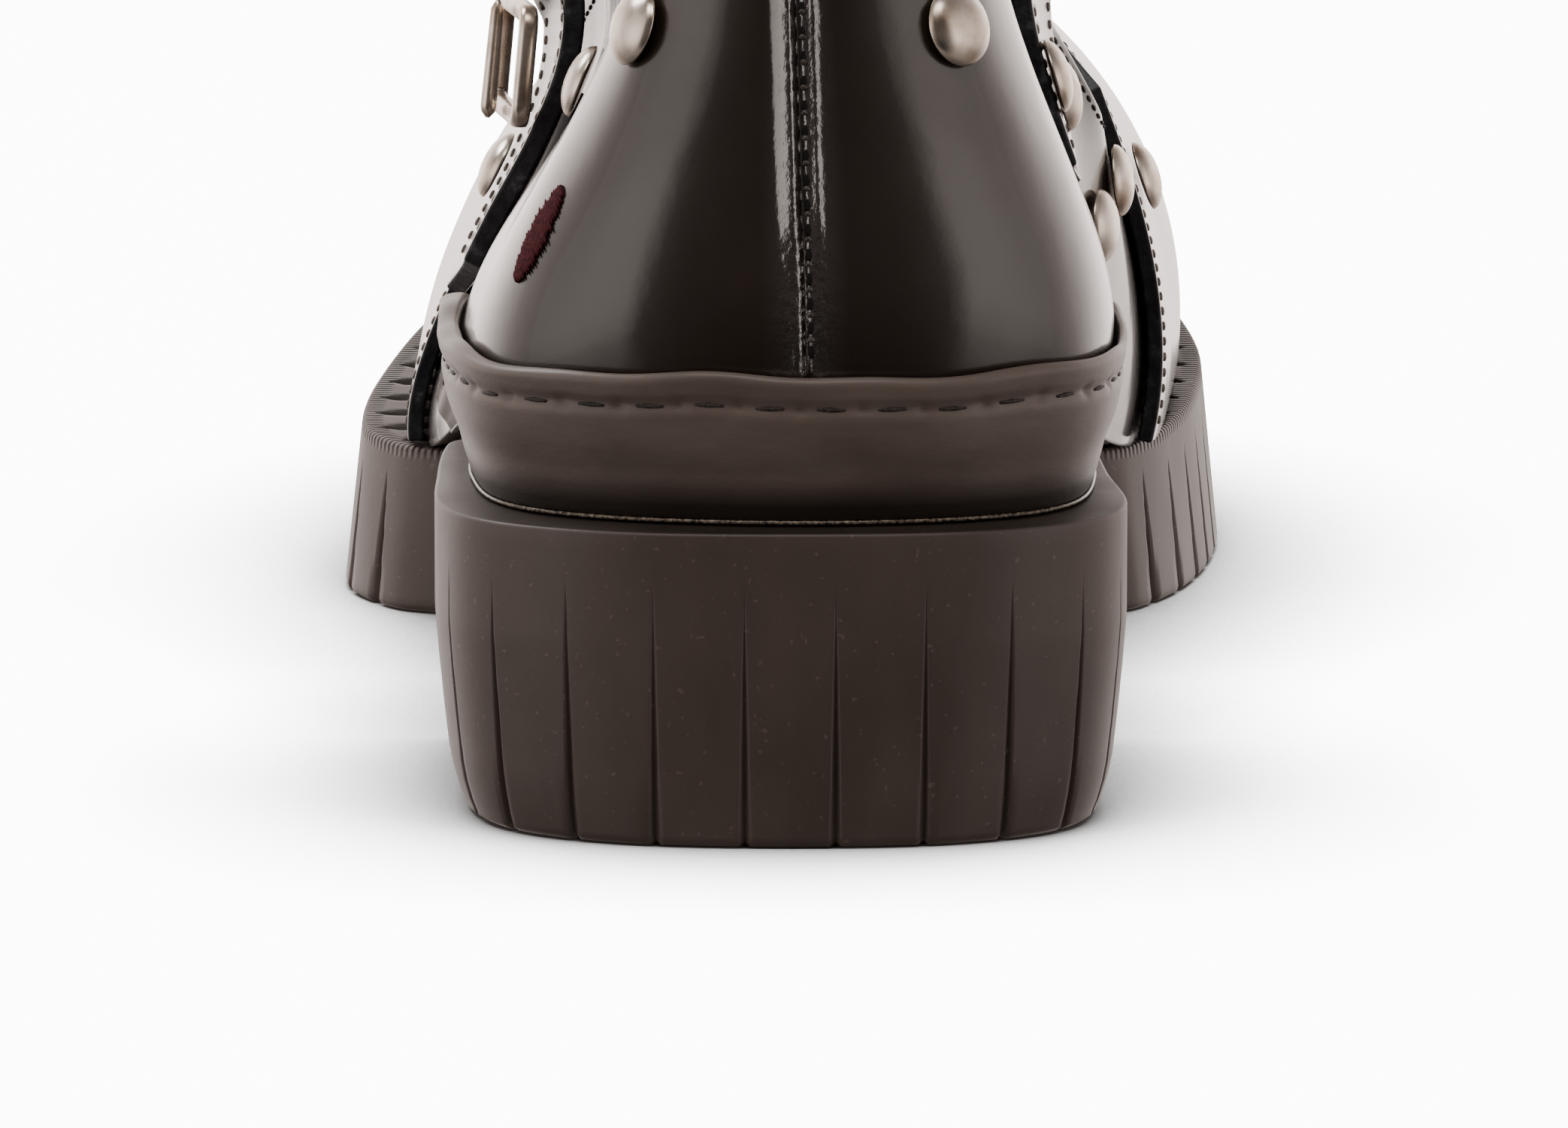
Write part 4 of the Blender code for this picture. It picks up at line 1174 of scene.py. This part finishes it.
def bandFrame(stations):
    base = skinPoint(stations, 0.0)
    along = skinPoint(stations + 0.01, 0.0) - skinPoint(stations - 0.01, 0.0)
    outward = np.stack([-along[:, 1], along[:, 0]], 1)
    outward /= np.linalg.norm(outward, axis=1)[:, None]
    start = bandLook["fadeStart"]
    fade = ease((base[:, 1] / shoe["length"] - start) / (shoe["bandEnd"] - start))
    rim = shoe["rimHeight"] + (shoe["rimFront"] - shoe["rimHeight"]) * fade
    width = shoe["rimWidth"] * (1.0 - bandLook["narrowing"] * fade)
    return base, outward, rim, width


def makeBand():
    look = bandLook
    pitch = look["stitches"]["pitch"]
    stations = bandStations()
    base, outward, rim, width = bandFrame(stations)
    run = runOf(base)
    for length, height in look["ripples"]:
        rim = rim + height * np.sin(math.tau * run / length + 40.0 * length) * rim / shoe["rimHeight"]
    floorTop = base[:, 2] - shoe["gap"]
    floorLow = bandFloor(base[:, 1])
    lip = floorTop + rim

    def beside(reach, z):
        return np.column_stack([base[:, :2] + outward * reach, z])

    rows = []
    for level, up, out in look["face"]:
        z = floorLow + up * (floorTop - floorLow) if level == "floor" else floorTop + up * rim
        rows.append(beside((width * out)[:, None], z))
    innerRows = []
    for share in look["inner"]:
        height = heightAt(stations, floorTop + share * rim)
        innerRows.append(skin(stations, height, np.full_like(stations, 1.5 * shoe["gap"])))
    crown = rows[-1] * look["crown"] + innerRows[0] * (1.0 - look["crown"])
    crown[:, 2] = lip
    foot = beside(1.5 * shoe["gap"], floorTop)
    rows = throughRows(rows + [crown] + innerRows + [foot], look["perSpan"])
    # the stitch groove and its pulled-in holes, on the face just under the lip
    normals = -gridNormals(rows)
    below = rows[..., 2] - (lip - look["grooveDrop"] * rim)[None]
    onFace = np.arange(len(rows))[:, None] < (len(look["face"]) - 0.3) * look["perSpan"]
    groove = bumpAt(below, 0.0, look["grooveWidth"]) * onFace
    phase = (run / pitch) % 1.0
    hole = bumpAt(np.minimum(phase, 1.0 - phase) * pitch, 0.0, look["holeWidth"])
    depth = look["grooveDepth"] + look["holeDepth"] * hole[None]
    faded = np.clip(rim / shoe["rimHeight"], 0.0, 1.0)[None]
    outSide = np.sign((normals[..., :2] * outward[None]).sum(-1))
    rows = rows - normals * (groove * depth * faded * outSide)[..., None]
    # the section closes on itself, and each end on its own middle
    closing = np.concatenate([rows, rows[:1]])
    start, end = (np.repeat(closing.mean(0)[at][None, None], len(closing), 0) for at in (0, -1))
    piece = gridPiece("heelBand", np.concatenate([start, closing, end], 1), [bandHide])
    finish(piece, "band_leather", "heel_band")

    # glue bead at the band's foot; its pale tone partly paints the highlight along it
    line = beside((width * look["gluePlace"])[:, None], floorLow + look["glueLift"])
    side = np.column_stack([outward, np.zeros(len(outward))])
    up = np.array([0.0, 0.0, 1.0])
    bead = []
    for angle in np.linspace(0.0, math.tau, 9):
        bead.append(line + look["glueRadius"] * (math.cos(angle) * side + math.sin(angle) * up))
    finish(gridPiece("glueLineAndHighlight", np.array(bead), [glueAndHighlight]), None)

    # one thread between each two holes
    grooveRow = np.abs(below[:(len(look["face"]) - 1) * look["perSpan"]]).argmin(0)
    at = np.arange(len(stations))
    facing = (normals * outSide[..., None])[grooveRow, at]
    middles = np.arange(1.5, run[-1] / pitch - 1.0) * pitch
    centres, outs = readAt(middles, run, rows[grooveRow, at]), readAt(middles, run, facing)
    layThreads("bandStitches", centres, outs, look["stitches"], darkThread)


makeBand()
print("band made")


# Sole: heel block and platform, each one ribbed slab

heelLook = {
    "pitch": 9.2 * mm,
    "ribFirst": 0.0,
    "ribLast": 6.2,
    "halfWidth": 0.60 * mm,
    "depth": 0.70 * mm,
    "ribStart": 0.82,
    "edgeRound": 0.4 * mm,
    "step": 0.9 * mm,
    "wall": (2.0 * mm, 1.0 * mm, 30),  # the wall's rings: below the top, above the floor, how many
    "frontShare": 0.12,  # the front face draws in this much of what the sides do
    "backShare": 0.25,
    # how far the wall has drawn in at each height, in millimetres
    "draw": [
        (0.0, 3.2), (0.8, 2.85), (2.0, 2.35), (4.0, 1.75), (6.0, 1.35), (10.4, 0.85), (15.0, 0.40), (20.0, 0.0),
    ],
    "foot": [(2.95, 0.45, 0.0), (3.2, 0.12, 0.3), (3.5, 0.0, 0.3)],  # inset, height, further inset
    "topInset": 2.5 * mm,
    "lowInset": 4.5 * mm,
    "closing": (0.5, 0.35, 0.2, 0.08, 0.0),
    "treads": (0.30, 0.52, 0.74),
}

soleLook = {
    "pitch": 9.2 * mm,
    "ribFirst": 7.7,
    "halfWidth": 1.05 * mm,
    "depth": 1.35 * mm,
    "edgeRound": 0.6 * mm,
    "step": 1.1 * mm,
    "wall": (0.08, 0.96, 22),  # the wall's rings: first and last share of the way down, how many
    "ribStart": 0.18,
    "radialDepth": 1.5 * mm,
    "radialReach": 0.12,  # at most this share of the width
    # inset and depth of the radial grooves on the top face, in millimetres
    "top": [(9.0, 1.5), (7.0, 1.5), (5.0, 1.4), (3.6, 1.1), (2.6, 0.6), (1.9, 0.2), (1.4, 0.0)],
    "topInset": 0.6 * mm,
    "topClosing": (0.5, 0.35, 0.2, 0.08),
    "foot": [(0.35, 0.35, 1.0), (0.8, 0.06, 1.0), (1.6, 0.0, 0.9)],  # inset and lift in edge radii, rib
    "lowInset": 2.5,
    "lowClosing": (0.0, 0.06, 0.15, 0.25, 0.35, 0.5),
    "treadWidth": 4.5 * mm,
    "treadDepth": 3.5 * mm,
    "treadRound": 0.7 * mm,
    "treadReach": 0.34,
    "treadSlant": math.radians(-6.0),
    "treads": (0.565, 0.617, 0.669, 0.721, 0.773, 0.825, 0.877, 0.929),
}
crowding = np.array([-1.0, -0.75, -0.5, -0.3, -0.14, 0.0, 0.14, 0.3, 0.5, 0.75, 1.0])  # round a rib groove


def wallColumns(rows, lastRow, look, ribLast):
    # places along one side of an outline, crowded at each rib groove, and their distance from it
    fine = np.linspace(0.0, lastRow, 4000)
    points = closedCurve(rows, fine)
    distance = runOf(points)
    start, end = np.interp([look["ribFirst"], ribLast], fine, distance)
    count = round((end - start) / look["pitch"])
    centres = start + (np.arange(count) + 0.5) * (end - start) / count
    plain = np.arange(0.0, distance[-1], look["step"])
    away = np.abs(plain[:, None] - centres[None]).min(1)
    crowd = (centres[:, None] + crowding * look["halfWidth"]).ravel()
    places = np.concatenate([plain[away > 1.35 * look["halfWidth"]], crowd])
    places = np.unique(np.round(np.concatenate([places, [0.0, distance[-1]]]), 7))
    places = places[(places >= 0.0) & (places <= distance[-1])]
    off = np.abs(places[:, None] - centres[None]).min(1)
    return np.interp(places, distance, fine), off


def slabFrame(rows, look, ribLast):
    lastRow = len(rows) // 2
    at, off = wallColumns(rows, lastRow, look, ribLast)
    at[-1] = lastRow
    at = np.concatenate([at, 2 * lastRow - at[-2::-1]])
    off = np.concatenate([off, off[-2::-1]])
    flat = closedCurve(rows, at % (2 * lastRow))
    along = closedCurve(rows, (at + 0.01) % (2 * lastRow)) - closedCurve(rows, (at - 0.01) % (2 * lastRow))
    normals = np.stack([-along[:, 1], along[:, 0]], 1)
    normals /= np.linalg.norm(normals, axis=1)[:, None]
    return flat, normals, off


def drawnOver(ring, shares):
    # a ring moved toward the same places on the other side, which closes a slab over
    return [ring * (1.0 - share) + ring[::-1] * share for share in shares]


def roundOver(edge, steps):
    # how far inward and down, over the quarter turn of an edge
    for k in range(steps + 1):
        angle = math.radians(90.0 * k / steps)
        yield edge * (1.0 - math.sin(angle)), edge * (1.0 - math.cos(angle))


def ribGroove(off, look, vee):
    # a groove's depth at each place, wider and deeper as vee goes from 0 to 1
    half = look["halfWidth"] * max(vee, 0.02)
    return look["depth"] * min(1.0, vee * 1.25) * np.clip(1.0 - off / half, 0.0, 1.0)


def outlineRows(edges, widths, unit):
    sides = []
    for side in (1, 2):
        sides.append([(row[side] * widths(row[0] * unit), row[0] * unit) for row in edges])
    return bothSides(*sides)


def makeHeel():
    look = heelLook
    rows = outlineRows(heelEdge, lambda y: shoe["heelWidth"], shoe["heelLength"])
    flat, normals, off = slabFrame(rows, look, look["ribLast"])
    height = shoe["heelHeight"]
    front = flat[:, 1] > 0.96 * shoe["heelLength"]
    sideShare = look["backShare"] + (1.0 - look["backShare"]) * np.abs(normals[:, 0])
    share = np.where(front, look["frontShare"], sideShare)

    def ring(inset, z, vee):
        moved = flat - normals * (inset + ribGroove(off, look, vee))[:, None]
        return np.column_stack([moved, np.full(len(flat), z)])

    rings = [ring(inward, height - down, 0.0) for inward, down in roundOver(look["edgeRound"], 5)]
    below, above, count = look["wall"]
    for z in np.linspace(height - below, above, count):
        draw = np.interp(z / mm, *zip(*look["draw"])) * mm
        vee = np.clip(1.0 - (z / height) / look["ribStart"], 0.0, 1.0)
        rings.append(ring(draw * share, z, float(vee) ** 0.75))
    for inset, z, further in look["foot"]:
        rings.append(ring(inset * mm * share + further * mm, z * mm, 1.0))
    top = drawnOver(ring(look["topInset"], height, 0.0), look["closing"])
    low = drawnOver(ring(look["lowInset"] * share, 0.0, 0.6), look["closing"][::-1])
    piece = gridPiece("heelLift", np.array(top + rings + low), [rubber])
    places = [tread * shoe["heelLength"] for tread in look["treads"]]
    cutTreads(piece, places, [soleLook["treadReach"] * shoe["heelWidth"]] * 3, [0.0] * 3, 0.0)
    finish(piece, "sole_rubber", "heel_block")


def cutTreads(piece, places, halves, bottoms, slant):
    # rounded bars take the blind grooves out of the tread
    bm = bmesh.new()
    for y, half, bottom in zip(places, halves, bottoms):
        size = Matrix.Diagonal((2 * half, soleLook["treadWidth"], 2 * soleLook["treadDepth"], 1.0))
        spot = Matrix.Translation(Vector((0.0, y, bottom)) + Vector(footPlace))
        bmesh.ops.create_cube(bm, size=1.0, matrix=spot @ Matrix.Rotation(slant, 4, "Z") @ size)
    bmesh.ops.bevel(bm, geom=bm.edges[:], offset=soleLook["treadRound"], offset_type="OFFSET",
                    segments=2, profile=0.5, affect="EDGES", material=-1)
    bars = pieceOf("treadBars", bm, smooth=False)
    cut = piece.modifiers.new("tread", "BOOLEAN")
    cut.operation = "DIFFERENCE"
    cut.solver = "EXACT"
    cut.object = bars
    bpy.context.view_layer.update()
    ready = piece.evaluated_get(bpy.context.evaluated_depsgraph_get())
    cutMesh = bpy.data.meshes.new_from_object(ready)
    piece.modifiers.clear()
    piece.data = cutMesh
    bpy.data.objects.remove(bars)


def makeOutsole():
    look = soleLook
    rows = outlineRows(soleEdge, localWidth, shoe["length"])
    flat, normals, off = slabFrame(rows, look, len(soleEdge) - 1)
    y = flat[:, 1]
    top, bottom = soleTop(y), soleBottom(y)
    platform = ease((y / shoe["length"] - shoe["platformStart"]) / 0.02)
    flare = shoe["soleFlare"] * platform
    widest = look["radialReach"] * localWidth(y)
    edge = look["edgeRound"]

    def ring(inset, z, vee, radialDepth=0.0):
        moved = flat - normals * (inset + ribGroove(off, look, vee) * platform)[:, None]
        wedge = look["halfWidth"] * (0.35 + 1.1 * radialDepth / look["radialDepth"])
        radial = radialDepth * np.clip(1.0 - off / wedge, 0.0, 1.0) ** 0.8 * platform
        return np.column_stack([moved, z - radial])

    topRings = []
    for inset, cut in look["top"]:
        topRings.append(ring(np.minimum(inset * mm, widest), top, 0.0, cut * mm))
    innermost = np.minimum(look["top"][0][0] * mm, widest) + look["topInset"]
    heart = drawnOver(ring(innermost, top, 0.0, look["radialDepth"]), look["topClosing"])
    rings = [ring(inward, top - down, 0.0) for inward, down in roundOver(edge, 4)]
    for share in np.linspace(*look["wall"]):
        z = top - edge + share * (bottom + edge - top)
        vee = np.clip((share - look["ribStart"]) / (1.0 - look["ribStart"]), 0.0, 1.0)
        rings.append(ring(-flare * share, z, float(vee) ** 0.7))
    for inset, lift, vee in look["foot"]:
        rings.append(ring(-flare + inset * edge, bottom + lift * edge, vee))
    low = drawnOver(ring(-flare + look["lowInset"] * edge, bottom, 0.7), look["lowClosing"])
    sheet = np.array(heart + topRings + rings + low)
    uv = np.stack(np.meshgrid(runOf(flat) / mm, np.linspace(0.0, 1.0, len(sheet))), -1)
    piece = gridPiece("platformSole", sheet, [platformRubber], uv=uv)
    places = [share * shoe["length"] for share in look["treads"]]
    narrowing = [1.9 * max(0.0, share - 0.76) ** 1.25 for share in look["treads"]]
    halves = [(look["treadReach"] - less) * shoe["ballWidth"] for less in narrowing]
    cutTreads(piece, places, halves, [float(soleBottom(place)) for place in places], look["treadSlant"])
    finish(piece, "sole_rubber", "outsole")


makeHeel()
makeOutsole()
print("sole made")


# Insole keeps its solid, with a lining finish

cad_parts["insole"].data.materials.clear()
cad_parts["insole"].data.materials.append(lining)


# Embroidered bar on the outer quarter, in satin stitch

barLook = {
    "top": (1.705, 0.468),
    "bottom": (1.935, 0.323),
    "width": 5.2 * mm,
    "ends": 0.30,  # share of the width at both ends
    "height": 0.62 * mm,
    "proud": 0.10 * mm,
    "slant": 0.35,
    "threads": 26,
}


def makeBar():
    bm = bmesh.new()
    chance = random.Random(3)
    top, bottom = np.array(barLook["top"]), np.array(barLook["bottom"])
    down = Vector(skinPoint(*bottom) - skinPoint(*top))
    pitch = down.length / barLook["threads"]
    for k in range(barLook["threads"]):
        share = (k + 0.5) / barLook["threads"]
        place = top * (1 - share) + bottom * share
        centre, out = skinPoint(*place), Vector(skinNormal(*place))
        side = out.cross(down).normalized()
        side = (side + down.normalized() * barLook["slant"]).normalized()
        swell = barLook["ends"] + (1.0 - barLook["ends"]) * math.sin(math.pi * share) ** 0.6
        width = barLook["width"] * swell * chance.uniform(0.80, 1.10)
        turn = Matrix((side, out.cross(side).normalized(), out)).transposed().to_4x4()
        spot = Matrix.Translation(Vector(centre + footPlace) + out * barLook["proud"])
        size = Matrix.Diagonal((width, pitch * 1.35, barLook["height"], 1.0))
        bmesh.ops.create_uvsphere(bm, u_segments=8, v_segments=7, radius=0.5, matrix=spot @ turn @ size)
    finish(pieceOf("satinBar", bm, wineThread), None)


makeBar()
print("bar made")


# Floor, lights and camera

studio = {
    "distance": 1.100,
    "height": 0.200,
    "aim": 8.86,
    "lens": 259.2,
    "sensor": 36.0,
    "paperGlow": 12.0,
    "contactShadowReach": 0.042,
    "contactShadowTones": [
        (0.30, grey(0.0)), (0.55, grey(0.03)), (0.72, grey(0.25)), (0.88, grey(0.70)), (0.98, grey(1.0)),
    ],
    # name, turn, rise, distance, size, glow, colour; turn goes round from the camera's side
    "boxes": [
        ("leftBox", -66.0, 14.0, 1.0, (1.0, 0.9), 0.30, (1.0, 0.93, 0.88)),
        ("rightBox", 66.0, 14.0, 1.0, (1.0, 0.9), 0.20, (1.0, 0.93, 0.88)),
        ("keyBox", -125.0, 50.0, 1.2, (0.5, 0.5), 9.0, (1.0, 1.0, 1.0)),
        ("fillBox", -8.0, 64.0, 1.2, (0.7, 0.35), 5.0, (1.0, 0.95, 0.90)),
    ],
    "boxTarget": (0.0, 0.05, 0.05),
    "worldStrength": 1.0,
    "worldDepth": [(-1.0, 0.08), (-0.74, 0.11), (-0.63, 1.25), (-0.35, 1.10), (0.0, 0.70), (0.4, 0.95),
                   (1.0, 2.6)],
    "worldHeight": [(-1.0, 0.10), (-0.35, 0.35), (-0.05, 1.0), (0.22, 1.0), (0.48, 0.40), (1.0, 0.12)],
    "worldTint": (1.08, 0.95, 0.90),
}


def makeCamera():
    data = bpy.data.cameras.new("camera")
    data.sensor_fit = "HORIZONTAL"
    data.sensor_width = studio["sensor"]
    data.lens = studio["lens"]
    data.clip_start = 0.05
    data.clip_end = 50.0
    camera = bpy.data.objects.new("camera", data)
    camera.location = Vector((0.0, -studio["distance"], studio["height"])) + Vector(footPlace)
    camera.rotation_euler = (math.radians(90.0 - studio["aim"]), 0.0, 0.0)
    bpy.context.scene.collection.objects.link(camera)
    bpy.context.scene.camera = camera


def makeFloor():
    # pale paper that glows evenly; a painted contact shadow darkens its glow softly where the shoe stands close
    bm = bmesh.new()
    bmesh.ops.create_grid(bm, x_segments=1, y_segments=1, size=8.0)
    paper = newLook("floorPaper", grey(0.25), 0.90)
    # painted contact shadow: ambient occlusion near the shoe dims the paper's glow
    near = addNode(paper, "AmbientOcclusion", Distance=studio["contactShadowReach"])
    near.samples = 12
    tone = ramp(paper, near, "AO", studio["contactShadowTones"])
    join(paper, tone, 0, shaderOf(paper), "Emission Color")
    shaderOf(paper).inputs["Emission Strength"].default_value = studio["paperGlow"]
    floor = pieceOf("floor", bm, paper, smooth=False)
    floor.location = (0.0, 0.0, -0.0002)
    floor.visible_diffuse = False
    floor.visible_glossy = False


def softBox(name, turn, rise, distance, size, glow, color):
    # glow is the panel's own brightness, whatever its size
    turn, rise = math.radians(turn), math.radians(rise)
    out = Vector((math.sin(turn) * math.cos(rise), -math.cos(turn) * math.cos(rise), math.sin(rise)))
    data = bpy.data.lights.new(name, "AREA")
    data.shape = "RECTANGLE"
    data.size, data.size_y = size
    data.energy = glow * math.pi * size[0] * size[1]
    data.color = color
    lamp = bpy.data.objects.new(name, data)
    target = Vector(footPlace) + Vector(studio["boxTarget"])
    lamp.location = target + out * distance
    lamp.rotation_mode = "QUATERNION"
    lamp.rotation_quaternion = (target - lamp.location).to_track_quat("-Z", "Y")
    bpy.context.scene.collection.objects.link(lamp)


def makeWorld():
    # dark toward the camera and overhead, light at the sides and behind, as in a tent
    world = bpy.data.worlds.new("studio")
    world.use_nodes = True
    nodes, links = world.node_tree.nodes, world.node_tree.links
    coords = nodes.new("ShaderNodeTexCoord")
    split = nodes.new("ShaderNodeSeparateXYZ")
    links.new(coords.outputs["Generated"], split.inputs[0])
    tones = []
    for axis, stops in (("Y", studio["worldDepth"]), ("Z", studio["worldHeight"])):
        remap = nodes.new("ShaderNodeMapRange")
        remap.inputs["From Min"].default_value = -1.0
        links.new(split.outputs[axis], remap.inputs["Value"])
        tone = nodes.new("ShaderNodeValToRGB")
        for _ in stops[2:]:
            tone.color_ramp.elements.new(0.5)
        tint = studio["worldTint"] if axis == "Y" else grey(1.0)
        for element, (place, value) in zip(tone.color_ramp.elements, stops):
            element.position = (place + 1.0) / 2.0
            element.color = (*(value * part for part in tint), 1.0)
        links.new(remap.outputs[0], tone.inputs["Fac"])
        tones.append(tone)
    both = nodes.new("ShaderNodeMix")
    both.data_type = "RGBA"
    both.blend_type = "MULTIPLY"
    both.inputs["Factor"].default_value = 1.0
    links.new(tones[0].outputs[0], both.inputs[6])
    links.new(tones[1].outputs[0], both.inputs[7])
    links.new(both.outputs[2], nodes["Background"].inputs["Color"])
    nodes["Background"].inputs["Strength"].default_value = studio["worldStrength"]
    bpy.context.scene.world = world


makeCamera()
makeFloor()
makeWorld()
for box in studio["boxes"]:
    softBox(*box)
print("stage made")
